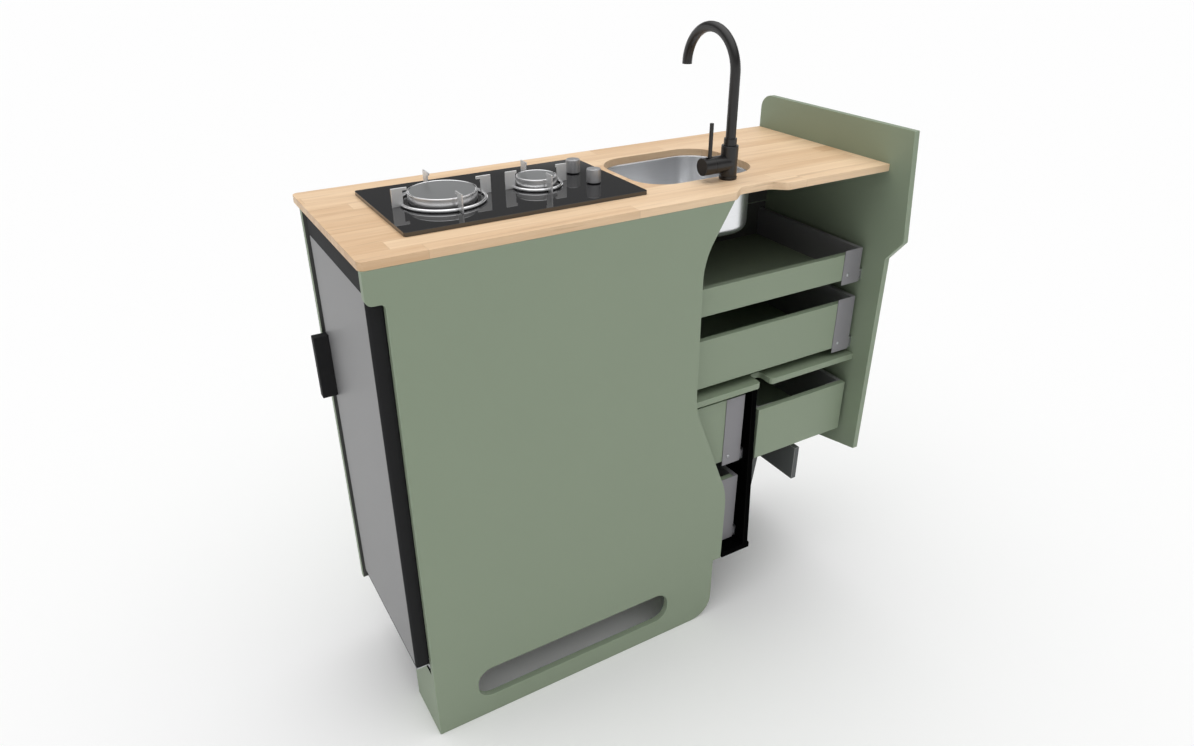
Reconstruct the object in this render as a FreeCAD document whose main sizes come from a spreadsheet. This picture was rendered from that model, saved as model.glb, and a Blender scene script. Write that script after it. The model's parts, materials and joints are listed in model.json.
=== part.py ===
import FreeCAD, Part
import os
import types

import Sketcher

# Campervan kitchen pod: a plywood unit that stands on a van floor beside a door step.
# It holds a tall fridge at one end, five drawers, a two-burner gas hob, a sink and a tap.
# X runs along the pod and grows towards the fridge end, Y grows towards the rear of the pod,
# Z is up. The origin is the middle of the floor bolts, at the level of the van floor.
# Places are written as a distance from the fridge end of the worktop, a distance forward of
# the rear face, and a height above the van floor.

SIZES = {
    # whole unit
    "panel": 15,
    "overrun": 5,
    "rest_gap": 0.3,
    "worktop_height": 963,
    "step_depth": 177,
    "bolt_span_deep": 288,
    "bolt_hole_radius": 4.5,
    # worktop, with a notch in its rear edge
    "worktop_length": 1208,
    "worktop_depth": 448,
    "worktop_thick": 16,
    "worktop_corner": 12,
    "front_overhang": 40,
    "notch_gap": 4,
    "notch_length": 137,
    "notch_depth": 26,
    "notch_run": 30,
    "notch_round": 24,
    # back panel, with one edge shaped to the van wall and a skirt that drops into the step
    "back_edge_gap": 1,
    "tongue_start": 3,
    "tongue_drop": 64,
    "tongue_round": 14,
    "tongue_fillet": 9,
    "wave_top_lead": 44,
    "wave_waist_lead": 113,
    "wave_waist_lean": 4,
    "wave_waist_drop": 117,
    "wave_waist_low": 474,
    "wave_foot_inset": 85,
    "wave_foot_high": 204,
    "wave_round_high": 165,
    "wave_round_low": 209,
    "wave_round_foot": 190,
    "skirt_step": 24,
    "skirt_round": 58,
    "vent_inset": 100,
    "vent_length": 516,
    "vent_height": 84,
    "vent_rise": 53,
    "vent_round": 36,
    "skirt_return_depth": 125,
    # front panel and the drawer fronts
    "front_start": 3,
    "fascia_drop": 169,
    "plinth_high": 18,
    "front_gap": 2,
    "top_front_height": 136.5,
    "narrow_meet": 237.5,
    "finger_length": 110,
    "finger_height": 32,
    "finger_round": 15.5,
    "finger_drop": 22,
    # end panel, cut over the wheel arch
    "end_rise": 82,
    "end_round": 34,
    "end_tail": 53,
    "end_belly": 74,
    "end_belly_drop": 164,
    "end_waist": 31,
    "end_waist_drop": 216,
    "end_arch_rear_high": 221,
    "end_arch_front_high": 170,
    "end_arch_front": 225,
    "end_foot_rear": 250,
    "end_brow_drop": 30,
    "end_brow_round": 18,
    # inner boards
    "fridge_vent_gap": 20,
    "divider_notch_gap": 5,
    "divider_notch_margin": 20,
    "shelf_low": 464,
    "shelf_rear_gap": 3,
    "shelf_slot_offset": 9,
    "shelf_slot_length": 32,
    "shelf_slot_depth": 45,
    "shelf_slot_round": 9,
    "column_shift": 1,
    "carcass_lean_high": 4,
    "carcass_lean_low": 17,
    "base_lip": 5,
    "base_tongue_gap": 3,
    "leg_shift": 2.5,
    "leg_rise": 7.5,
    "leg_arch_high": 150,
    "leg_arch_front": 165,
    "leg_foot_rear": 185,
    # drawers and runners
    "drawer_rear_gap": 14,
    "arch_drawer_rear_gap": 4,
    "rail_thick": 12,
    "rail_height": 30,
    "rail_wall": 3,
    "rail_lip": 5,
    "rail_rear_gap": 3,
    "rail_front_gap": 8,
    "runner_slack": 0.9,
    "side_thick": 12,
    "side_wall": 2,
    "bracket_width": 42,
    "drawer_back": 15,
    "back_foot_gap": 12,
    "wide_back_head_gap": 10,
    "narrow_back_head_gap": 1,
    "drawer_base": 12,
    "drawer_base_rise": 3,
    "top_box_rise": 31.5,
    "top_box_headroom": 18,
    "middle_box_rise": 13,
    "middle_box_headroom": 6.5,
    "narrow_upper_box_rise": 27.5,
    "narrow_upper_box_headroom": 12,
    "narrow_lower_box_rise": 10,
    "narrow_lower_box_headroom": 17.5,
    "arch_box_rise": 24.5,
    "arch_box_headroom": 64,
    # hob, with burners and knobs sized and placed for a hob of the usual length
    "hob_start": 107,
    "hob_length": 505,
    "hob_usual_length": 505,
    "hob_depth": 296,
    "hob_shift": 4,
    "hob_thick": 8,
    "hob_corner": 6,
    "hob_inset": 20,
    "tray_gap": 2,
    "tray_wall": 1.5,
    "tray_depth": 53,
    "large_burner_inset": 130,
    "small_burner_inset": 173.5,
    "large_cap_radius": 67,
    "small_cap_radius": 41,
    "large_ring_margin": 16,
    "small_ring_margin": 10,
    "cap_rise": 3,
    "cap_thick": 18,
    "cap_round": 1.5,
    "cap_seat_gap": 0.2,
    "crown_step": 9,
    "flange_thick": 1.5,
    "flange_step": 3,
    "throat_step": 24,
    "throat_drop": 30,
    "throat_gap": 0.5,
    "ring_wire": 3.3,
    "ring_rise": 3.5,
    "wing_gap": 3,
    "wing_root": 4,
    "wing_overhang": 18,
    "wing_high": 36,
    "wing_tip_thick": 6,
    "wing_thick": 3,
    "knob_inset": 64.5,
    "knob_spread": 87,
    "knob_radius": 15,
    "knob_high": 29,
    "knob_round": 2,
    "knob_shaft_radius": 4,
    "knob_shaft_gap": 0.1,
    "knob_shaft_drop": 32,
    "gas_pipe_gap": 40,
    "gas_pipe_rise": 20,
    "gas_pipe_radius": 4,
    "gas_pipe_length": 38,
    "gas_nut_radius": 8,
    "gas_nut_length": 10,
    # sink
    "hob_sink_gap": 29,
    "sink_length": 300,
    "sink_depth": 240,
    "sink_shift": 10,
    "sink_corner": 75,
    "sink_drop": 128,
    "sink_wall": 1.5,
    "sink_lip": 15,
    "sink_rear_lip": 7,
    "sink_bottom_round": 22,
    "waste_neck_radius": 22,
    "waste_neck_gap": 0.5,
    "waste_wall": 1.6,
    "waste_rim_radius": 35,
    "waste_rim_thick": 2,
    "waste_cup_radius": 30,
    "waste_cup_drop": 45,
    "waste_bore_drop": 23,
    "waste_spigot_radius": 12.5,
    "waste_spigot_drop": 28,
    "waste_spigot_length": 80,
    "waste_collar_radius": 15,
    "waste_collar_length": 34,
    "strainer_gap": 0.4,
    "strainer_cap_radius": 27,
    "strainer_cap_thick": 2.5,
    "strainer_drop": 18,
    "strainer_knob_radius": 5,
    "strainer_knob_high": 12,
    # tap
    "tap_sink_offset": 31,
    "tap_sink_gap": 22,
    "tap_base_radius": 19,
    "tap_base_high": 6,
    "tap_body_radius": 18,
    "tap_body_high": 70,
    "tap_shank_radius": 12,
    "tap_shank_gap": 1.5,
    "tap_shank_drop": 60,
    "spout_radius": 10.5,
    "spout_wall": 2,
    "spout_bend_radius": 82,
    "spout_bend_high": 210,
    "spout_mouth_depth": 20,
    "spout_collar_radius": 13.5,
    "spout_collar_high": 14,
    "spout_plug_radius": 9,
    "spout_plug_drop": 22,
    "spout_plug_gap": 0.08,
    "mixer_high": 33,
    "mixer_radius": 18,
    "mixer_reach": 43,
    "hub_gap": 0.6,
    "hub_length": 26.4,
    "hub_axle_radius": 6,
    "hub_axle_depth": 16,
    "hub_axle_gap": 0.08,
    "lever_offset": 7.4,
    "lever_radius": 4.2,
    "lever_round": 1.1,
    "lever_high": 120,
    "lever_slot_gap": 0.7,
    "lever_slot_reach": 12,
    # fridge
    "fridge_short_of_hob": 5,
    "fridge_rear_gap": 3,
    "fridge_front_gap": 3,
    "fridge_head_gap": 8,
    "fridge_wall": 30,
    "fridge_skin": 1.5,
    "fridge_liner_skin": 2,
    "machine_length": 130,
    "machine_high": 205,
    "rack_clear": 21,
    "fridge_shelf_thick": 6,
    "fridge_shelf_low_rise": 455,
    "fridge_shelf_high_rise": 665,
    "compressor_radius": 55,
    "compressor_high": 150,
    "compressor_plate": 6,
    "compressor_plate_half": 62,
    "compressor_round": 20,
    # fridge door
    "door_start": 8,
    "door_thick": 28,
    "door_rear_gap": 2,
    "door_front_gap": 13,
    "door_front_lip": 9,
    "door_rise": 18,
    "door_head_gap": 1,
    "door_hinge_inset": 7,
    "door_edge_round": 4,
    "door_panel_thick": 3,
    "door_panel_rim": 4,
    "door_panel_ledge": 10,
    "door_back_skin": 5,
    "gasket_thick": 3.7,
    "gasket_inset": 7,
    "gasket_width": 18,
    "liner_inset": 43,
    "liner_thick": 10,
    "rack_depth": 58,
    "rack_wall": 3,
    "rack_high": 70,
    "rack_low_rise": 120,
    "rack_high_rise": 480,
    "hinge_plate_thick": 3,
    "hinge_plate_width": 22,
    "hinge_plate_run": 60,
    "hinge_pin_radius": 4,
    "hinge_pin_gap": 0.05,
    "hinge_pin_depth": 13,
    "hinge_lower_drop": 2,
    "handle_reach": 32,
    "handle_rise": 508,
    "handle_length": 143,
    "handle_width": 20,
    "handle_inset": 4,
    "handle_wall": 5,
    "handle_round": 2,
}

# Two places closer together than this share of their size count as one.
SAME_SHARE = 1e-6

# The two axes of the model that an outline's own two axes follow on each plane.
PLANE_AXES = {"XY_Plane": (0, 1), "XZ_Plane": (0, 2), "YZ_Plane": (1, 2)}


class Size:
    """A length tied to the sheet: its expression for the document and its value in millimetres."""

    def __init__(self, text, value):
        self.text = text
        self.value = value

    def _with(self, sign, other, value):
        return Size(f"({self.text} {sign} {text_of(other)})", value)

    def __add__(self, other):
        return self._with("+", other, self.value + value_of(other))

    def __sub__(self, other):
        return self._with("-", other, self.value - value_of(other))

    def __mul__(self, factor):
        return self._with("*", factor, self.value * value_of(factor))

    def __truediv__(self, factor):
        return self._with("/", factor, self.value / value_of(factor))

    def __neg__(self):
        return Size(f"(0 - {self.text})", -self.value)


def value_of(size):
    return size.value if isinstance(size, Size) else size


def text_of(size):
    return size.text if isinstance(size, Size) else repr(size)


doc = FreeCAD.newDocument("kitchen_pod")
sheet = doc.addObject("Spreadsheet::Sheet", "dims")
for row, (name, number) in enumerate(SIZES.items(), start=1):
    sheet.set(f"A{row}", name)
    sheet.set(f"B{row}", str(number))
    sheet.setAlias(f"B{row}", name)
doc.recompute()
d = types.SimpleNamespace(**{name: Size(f"dims.{name}", number) for name, number in SIZES.items()})
floor_level = Size("0", 0)

# Heights and depths that several pieces share.
under_worktop = d.worktop_height - d.worktop_thick
front_face = d.worktop_depth - d.front_overhang
front_inner = front_face - d.panel
tray_low = d.worktop_height - d.tray_depth
fridge_top = tray_low - d.fridge_head_gap
door_inner = d.door_start + d.door_thick

# Places along the pod, from the fridge end to the drawers.
back_start = door_inner + d.back_edge_gap
fridge_start = door_inner + d.gasket_thick + d.rest_gap
fridge_end = fridge_start + d.hob_length - d.fridge_short_of_hob
divider_start = fridge_end + d.fridge_vent_gap
divider_end = divider_start + d.panel
carcass_start = (divider_end + d.worktop_length - d.panel) / 2 + d.column_shift
carcass_end = carcass_start + d.panel
base_end = carcass_end + d.base_lip
leg_start = (carcass_end + d.worktop_length - d.panel) / 2 + d.leg_shift
wave_foot = carcass_end - d.wave_foot_inset
wave_top = wave_foot - d.wave_top_lead
wave_waist = wave_foot - d.wave_waist_lead

# Places on the worktop.
hob_end = d.hob_start + d.hob_length
hob_rear = (d.worktop_depth - d.hob_depth) / 2 + d.hob_shift
hob_front = hob_rear + d.hob_depth
hob_top = d.worktop_height + d.hob_thick
burner_rear = (hob_rear + hob_front) / 2
sink_start = hob_end + d.hob_sink_gap
sink_end = sink_start + d.sink_length
sink_rear = (d.worktop_depth - d.sink_depth) / 2 + d.sink_shift
sink_front = sink_rear + d.sink_depth
sink_spot = ((sink_start + sink_end) / 2, (sink_rear + sink_front) / 2)
tap_spot = (sink_spot[0] + d.tap_sink_offset, sink_rear - d.tap_sink_gap)

# Heights where the fronts meet.
fascia_low = under_worktop - d.fascia_drop
wide_meet = fascia_low - d.top_front_height
shelf_meet = d.shelf_low + d.panel / 2

# The floor bolts stand in the fridge's machine bay and under the lowest narrow drawer.
bolt_runs = (fridge_end - d.machine_length / 2, (divider_end + carcass_start) / 2)
bolt_from_end = (bolt_runs[0] + bolt_runs[1]) / 2
bolt_from_rear = (d.panel + front_inner) / 2

sub_parts = []


def along(from_end):
    """X of a place given by its distance from the fridge end."""
    return bolt_from_end - from_end


def across(from_rear):
    """Y of a place given by its distance forward of the rear face."""
    return bolt_from_rear - from_rear


def bind(item, prop, size):
    item.setExpression(prop, text_of(size))


def place(item, x, y, z):
    for axis, size in zip("xyz", (x, y, z)):
        bind(item, f"Placement.Base.{axis}", size)


def part(item):
    """Lists a finished sub-part, whose label names its file."""
    sub_parts.append(item)
    return item


def board(name, run, deep, rise):
    """A square-edged block between two distances along the pod, across it and up it."""
    item = doc.addObject("Part::Box", name)
    bind(item, "Length", run[1] - run[0])
    bind(item, "Width", deep[1] - deep[0])
    bind(item, "Height", rise[1] - rise[0])
    place(item, along(run[1]), across(deep[1]), rise[0])
    return item


def post(name, spot, radius, rise):
    """An upright cylinder on a spot of the plan."""
    item = doc.addObject("Part::Cylinder", name)
    bind(item, "Radius", radius)
    bind(item, "Height", rise[1] - rise[0])
    place(item, along(spot[0]), across(spot[1]), rise[0])
    return item


def bar(name, start, radius, length, direction):
    """A level cylinder that starts at a point of the model and runs along a direction."""
    item = doc.addObject("Part::Cylinder", name)
    bind(item, "Radius", radius)
    bind(item, "Height", length)
    item.Placement.Rotation = FreeCAD.Rotation(FreeCAD.Vector(0, 0, 1), FreeCAD.Vector(*direction))
    place(item, *start)
    return item


def fuse(name, pieces):
    item = doc.addObject("Part::MultiFuse", name)
    item.Shapes = pieces
    item.Refine = True
    return item


def group(name, pieces):
    item = doc.addObject("Part::Compound", name)
    item.Links = pieces
    return item


def cut(name, base, tools):
    item = doc.addObject("Part::Cut", name)
    item.Base = base
    item.Tool = tools[0] if len(tools) == 1 else fuse(f"{name}_tools", tools)
    return item


def same(one, other):
    return abs(one - other) <= SAME_SHARE * max(abs(one), abs(other), 1)


def at_height(height):
    """A test for edges that lie level at a height of their body."""
    level = value_of(height)
    return lambda edge: same(edge.BoundBox.ZMin, level) and same(edge.BoundBox.ZMax, level)


def on_spots(plane, spots):
    """A test for straight edges that stand square to a plane on one of some spots."""
    axes = PLANE_AXES[plane]

    def chosen(edge):
        ends = [vertex.Point for vertex in edge.Vertexes]
        stands = (all(same(end[axis], spot[index]) for end in ends for index, axis in enumerate(axes))
                  for spot in spots)
        return len(ends) == 2 and any(stands)

    return chosen


def new_sketch(body, name, plane):
    sketch = body.newObject("Sketcher::SketchObject", name)
    support = [feature for feature in body.Origin.OriginFeatures if feature.Role == plane][0]
    sketch.AttachmentSupport = (support, [""])
    sketch.MapMode = "FlatFace"
    return sketch


def tie(sketch, kind, *places, size):
    """Adds a dimension to a sketch and binds it to the sheet."""
    number = sketch.addConstraint(Sketcher.Constraint(kind, *places, value_of(size)))
    sketch.setExpression(f"Constraints[{number}]", text_of(size))


def draw_outline(sketch, corners):
    """Draws a closed outline of straight runs and ties each corner to the sheet."""
    points = [FreeCAD.Vector(value_of(x), value_of(y), 0) for x, y, radius in corners]
    first = sketch.GeometryCount
    for start, end in zip(points, points[1:] + points[:1]):
        sketch.addGeometry(Part.LineSegment(start, end))
    for index, (x, y, radius) in enumerate(corners):
        line = first + index
        following = first + (index + 1) % len(corners)
        sketch.addConstraint(Sketcher.Constraint("Coincident", line, 2, following, 1))
        tie(sketch, "DistanceX", -1, 1, line, 1, size=x)
        tie(sketch, "DistanceY", -1, 1, line, 1, size=y)


def draw_circle(sketch, x, y, radius):
    middle = FreeCAD.Vector(value_of(x), value_of(y), 0)
    circle = sketch.addGeometry(Part.Circle(middle, FreeCAD.Vector(0, 0, 1), radius.value))
    tie(sketch, "Radius", circle, size=radius)
    tie(sketch, "DistanceX", -1, 1, circle, 3, size=x)
    tie(sketch, "DistanceY", -1, 1, circle, 3, size=y)


def pad(body, name, sketch, length):
    feature = body.newObject("PartDesign::Pad", name)
    feature.Profile = sketch
    bind(feature, "Length", length)
    return feature


def round_edges(body, name, radius, chosen):
    """Rounds those edges of a body that a test picks."""
    doc.recompute()
    base = body.Tip
    names = [f"Edge{number}" for number, edge in enumerate(base.Shape.Edges, start=1) if chosen(edge)]
    feature = body.newObject("PartDesign::Fillet", name)
    feature.Base = (base, names)
    bind(feature, "Radius", radius)
    return body


def sheet_body(name, plane, outlines, thickness, holes=()):
    """A flat board: outlines and round holes drawn on one plane, padded, with its corners rounded."""
    body = doc.addObject("PartDesign::Body", name)
    sketch = new_sketch(body, f"{name}_outline", plane)
    for corners in outlines:
        draw_outline(sketch, corners)
    for hole in holes:
        draw_circle(sketch, *hole)
    pad(body, f"{name}_pad", sketch, thickness)
    rounds = {}
    for x, y, radius in [corner for corners in outlines for corner in corners]:
        if radius != 0:
            rounds.setdefault(radius.text, (radius, []))[1].append((value_of(x), value_of(y)))
    for index, (radius, spots) in enumerate(rounds.values()):
        round_edges(body, f"{name}_round_{index}", radius, on_spots(plane, spots))
    return body


def level_board(name, outlines, thickness, low, holes=()):
    """A level board, outlined in places from the fridge end and from the rear."""
    plan = [[(along(run), across(deep), radius) for run, deep, radius in corners] for corners in outlines]
    spots = [(along(run), across(deep), radius) for (run, deep), radius in holes]
    body = sheet_body(name, "XY_Plane", plan, thickness, spots)
    bind(body, "Placement.Base.z", low)
    return body


def facing_board(name, outlines, thickness, rear):
    """An upright board along the pod, outlined in places from the fridge end and in heights."""
    plan = [[(along(run), rise, radius) for run, rise, radius in corners] for corners in outlines]
    body = sheet_body(name, "XZ_Plane", plan, thickness)
    bind(body, "Placement.Base.y", across(rear))
    return body


def cross_board(name, outlines, thickness, start):
    """An upright board across the pod, outlined in places from the rear and in heights."""
    plan = [[(across(deep), rise, radius) for deep, rise, radius in corners] for corners in outlines]
    body = sheet_body(name, "YZ_Plane", plan, thickness)
    bind(body, "Placement.Base.x", along(start + thickness))
    return body


def soft_disc(name, spot, radius, rise, edge_round):
    """A disc with a rounded top edge."""
    thickness = rise[1] - rise[0]
    body = level_board(name, [], thickness, rise[0], [(spot, radius)])
    return round_edges(body, f"{name}_soft", edge_round, at_height(thickness))


def rectangle(run, rise, radius=0):
    """The corners of a rectangle between two places each way."""
    corners = ((run[0], rise[0]), (run[1], rise[0]), (run[1], rise[1]), (run[0], rise[1]))
    return [(*corner, radius) for corner in corners]


def make_worktop():
    notch_start = wave_top + d.notch_gap
    notch_end = notch_start + d.notch_length
    outline = [
        (0, 0, d.worktop_corner),
        (notch_start, 0, d.notch_round),
        (notch_start + d.notch_run, d.notch_depth, d.notch_round),
        (notch_end - d.notch_run, d.notch_depth, d.notch_round),
        (notch_end, 0, d.notch_round),
        (d.worktop_length, 0, 0),
        (d.worktop_length, d.worktop_depth, 0),
        (0, d.worktop_depth, d.worktop_corner),
    ]
    hob_run = (d.hob_start + d.hob_inset, hob_end - d.hob_inset)
    hob_deep = (hob_rear + d.hob_inset, hob_front - d.hob_inset)
    hob_hole = rectangle(hob_run, hob_deep, d.hob_corner)
    sink_hole = rectangle((sink_start, sink_end), (sink_rear, sink_front), d.sink_corner)
    tap_hole = (tap_spot, d.tap_shank_radius + d.tap_shank_gap)
    part(level_board("worktop", [outline, hob_hole, sink_hole], d.worktop_thick, under_worktop, [tap_hole]))


def make_back_panel():
    tongue_low = under_worktop - d.tongue_drop
    skirt_low = -d.step_depth
    skirt_end = wave_foot - d.skirt_step
    outline = [
        (d.tongue_start, under_worktop, 0),
        (wave_top, under_worktop, 0),
        (wave_waist, under_worktop - d.wave_waist_drop, d.wave_round_high),
        (wave_waist + d.wave_waist_lean, d.wave_waist_low, d.wave_round_low),
        (wave_foot, d.wave_foot_high, d.wave_round_foot),
        (wave_foot, 0, 0),
        (skirt_end, 0, 0),
        (skirt_end, skirt_low, d.skirt_round),
        (back_start, skirt_low, 0),
        (back_start, tongue_low, d.tongue_fillet),
        (d.tongue_start, tongue_low, d.tongue_round),
    ]
    vent_start = back_start + d.vent_inset
    vent_low = skirt_low + d.vent_rise
    vent_run = (vent_start, vent_start + d.vent_length)
    vent = rectangle(vent_run, (vent_low, vent_low + d.vent_height), d.vent_round)
    part(facing_board("back_panel", [outline, vent], d.panel, 0))

    starts = {"left": back_start, "right": skirt_end - d.skirt_round - d.panel}
    deep = (d.panel, d.panel + d.skirt_return_depth)
    returns = []
    for side, start in starts.items():
        run = (start, start + d.panel)
        returns.append(board(f"skirt_return_{side}", run, deep, (skirt_low, floor_level)))
    part(group("skirt_returns", returns))


def make_front_panel():
    half_gap = d.front_gap / 2
    bay_edge = divider_end - d.front_gap
    cover_edge = carcass_end - d.panel / 2 + half_gap
    cover_high = d.narrow_meet - half_gap
    outline = [
        (d.front_start, 0, 0),
        (d.worktop_length, 0, 0),
        (d.worktop_length, cover_high, 0),
        (cover_edge, cover_high, 0),
        (cover_edge, d.plinth_high, 0),
        (bay_edge, d.plinth_high, 0),
        (bay_edge, fascia_low, 0),
        (d.worktop_length, fascia_low, 0),
        (d.worktop_length, under_worktop, 0),
        (d.front_start, under_worktop, 0),
    ]
    part(facing_board("front_panel", [outline], d.panel, front_inner))


def make_end_panel():
    top = d.worktop_height + d.end_rise
    brow = under_worktop - d.end_brow_drop
    outline = [
        (d.worktop_depth, top, d.end_round),
        (d.worktop_depth, brow, d.end_brow_round),
        (front_face, brow - d.front_overhang, d.end_brow_round),
        (front_face, 0, 0),
        (d.end_foot_rear, 0, 0),
        (d.end_arch_front, d.end_arch_front_high, d.end_brow_round),
        (-d.end_waist, d.end_arch_rear_high, 0),
        (-d.end_waist, d.worktop_height - d.end_waist_drop, 0),
        (-d.end_belly, d.worktop_height - d.end_belly_drop, 0),
        (-d.end_tail, top, 0),
    ]
    part(cross_board("end_panel", [outline], d.panel, d.worktop_length))


def make_fridge_divider():
    notch_low = tray_low - d.divider_notch_gap
    notch_rear = hob_rear + d.hob_inset - d.divider_notch_margin
    notch_front = hob_front - d.hob_inset + d.divider_notch_margin
    outline = [
        (d.panel, d.panel, 0),
        (front_inner, d.panel, 0),
        (front_inner, under_worktop, 0),
        (notch_front, under_worktop, 0),
        (notch_front, notch_low, 0),
        (notch_rear, notch_low, 0),
        (notch_rear, under_worktop, 0),
        (d.panel, under_worktop, 0),
    ]
    part(cross_board("fridge_divider", [outline], d.panel, divider_start))


def make_drawer_carcass():
    """The shelf between the wide and the narrow drawers, and the boards under it."""
    shelf_rear = d.panel + d.shelf_rear_gap
    slot_start = carcass_end + d.shelf_slot_offset
    slot_end = slot_start + d.shelf_slot_length
    slot_front = shelf_rear + d.shelf_slot_depth
    shelf = [
        (divider_end, shelf_rear, 0),
        (slot_start, shelf_rear, d.shelf_slot_round),
        (slot_start, slot_front, d.shelf_slot_round),
        (slot_end, slot_front, d.shelf_slot_round),
        (slot_end, shelf_rear, d.shelf_slot_round),
        (d.worktop_length, shelf_rear, 0),
        (d.worktop_length, front_inner, 0),
        (divider_end, front_inner, 0),
    ]
    part(level_board("drawer_shelf", [shelf], d.panel, d.shelf_low))

    rear_low = d.panel - d.carcass_lean_low
    rear_high = d.panel + d.carcass_lean_high
    divider = [
        (rear_low, d.panel, 0),
        (front_inner, d.panel, 0),
        (front_inner, d.shelf_low, 0),
        (rear_high, d.shelf_low, 0),
    ]
    part(cross_board("drawer_divider", [divider], d.panel, carcass_start))

    leg_high = d.narrow_meet + d.leg_rise
    leg = [
        (rear_high, d.leg_arch_high, 0),
        (d.leg_arch_front, d.leg_arch_high, d.end_brow_round),
        (d.leg_foot_rear, 0, 0),
        (front_inner, 0, 0),
        (front_inner, leg_high, 0),
        (rear_high, leg_high, 0),
    ]
    part(cross_board("arch_leg", [leg], d.panel, leg_start))

    tongue_start = wave_foot + d.base_tongue_gap
    base = [
        (back_start, d.panel, 0),
        (tongue_start, d.panel, 0),
        (tongue_start, rear_low, 0),
        (base_end, rear_low, 0),
        (base_end, front_inner, 0),
        (back_start, front_inner, 0),
    ]
    holes = []
    for run in bolt_runs:
        for deep in (-d.bolt_span_deep / 2, d.bolt_span_deep / 2):
            holes.append(((run, bolt_from_rear + deep), d.bolt_hole_radius))
    part(level_board("base_panel", [base], d.panel, floor_level, holes))


def make_rail(name, run, deep, low, opens_onwards):
    """One fixed runner rail: a channel that opens towards its drawer."""
    start, end = run
    blank = board(f"{name}_blank", run, deep, (low, low + d.rail_height))
    if opens_onwards:
        groove_run = (start + d.rail_wall, end + d.overrun)
    else:
        groove_run = (start - d.overrun, end - d.rail_wall)
    groove_deep = (deep[0] - d.overrun, deep[1] + d.overrun)
    groove_rise = (low + d.rail_lip, low + d.rail_height - d.rail_lip)
    return cut(name, blank, [board(f"{name}_groove", groove_run, groove_deep, groove_rise)])


def make_side(name, start, deep, rail_deep, box, runs_outwards):
    """One steel drawer side: a folded wall, its runner outside and its bracket at the back."""
    end = start + d.side_thick
    low, high = box
    wall = board(f"{name}_wall", (start, end), deep, box)
    fold_run = (start + d.side_wall, end - d.side_wall)
    fold_deep = (deep[0] + d.side_wall, deep[1] + d.overrun)
    fold = board(f"{name}_fold", fold_run, fold_deep, (low - d.overrun, high - d.side_wall))
    folded = cut(f"{name}_folded", wall, [fold])
    reach = d.rail_thick + d.rest_gap - d.rail_wall - d.runner_slack
    if runs_outwards:
        runner_run = (end, end + reach)
        bracket_run = (start - d.bracket_width, start)
    else:
        runner_run = (start - reach, start)
        bracket_run = (end, end + d.bracket_width)
    slack = d.rail_lip + d.rest_gap
    runner = board(f"{name}_runner", runner_run, rail_deep, (low + slack, low + d.rail_height - slack))
    bracket = board(f"{name}_bracket", bracket_run, (deep[0], deep[0] + d.side_wall), box)
    return fuse(name, [folded, runner, bracket])


def make_drawer(name, bay, rear, box, front_run, front_rise, back_head_gap, back_covers_sides):
    """A drawer: wooden front, back and base with two steel sides. Returns its two fixed rails."""
    low, high = box
    face_rear = front_inner + d.rest_gap
    rail_deep = (d.panel + d.drawer_rear_gap + d.rail_rear_gap, front_inner - d.rail_front_gap)
    left = bay[0] + d.rail_thick + d.rest_gap
    right = bay[1] - d.rail_thick - d.rest_gap - d.side_thick
    inside = (left + d.side_thick, right)
    if back_covers_sides:
        deep = (rear + d.drawer_back, face_rear)
        back_run = (left, right + d.side_thick)
        back_deep = (rear, deep[0])
        back_rise = box
        base_rear = deep[0] + d.side_wall
    else:
        deep = (rear, face_rear)
        back_run = inside
        back_deep = (rear + d.side_wall, rear + d.side_wall + d.drawer_back)
        back_rise = (low + d.back_foot_gap, high - back_head_gap)
        base_rear = back_deep[1]
    part(group(f"{name}_sides", [
        make_side(f"{name}_side_a", left, deep, rail_deep, box, False),
        make_side(f"{name}_side_b", right, deep, rail_deep, box, True),
    ]))
    part(board(f"{name}_back", back_run, back_deep, back_rise))
    base_low = low + d.drawer_base_rise
    part(board(f"{name}_base", inside, (base_rear, face_rear), (base_low, base_low + d.drawer_base)))

    middle = (front_run[0] + front_run[1]) / 2
    grip_run = (middle - d.finger_length / 2, middle + d.finger_length / 2)
    grip_high = front_rise[1] - d.finger_drop
    grip = rectangle(grip_run, (grip_high - d.finger_height, grip_high), d.finger_round)
    part(facing_board(f"{name}_front", [rectangle(front_run, front_rise), grip], d.panel, face_rear))
    return [
        make_rail(f"{name}_rail_a", (bay[0], bay[0] + d.rail_thick), rail_deep, low, True),
        make_rail(f"{name}_rail_b", (bay[1] - d.rail_thick, bay[1]), rail_deep, low, False),
    ]


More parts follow.
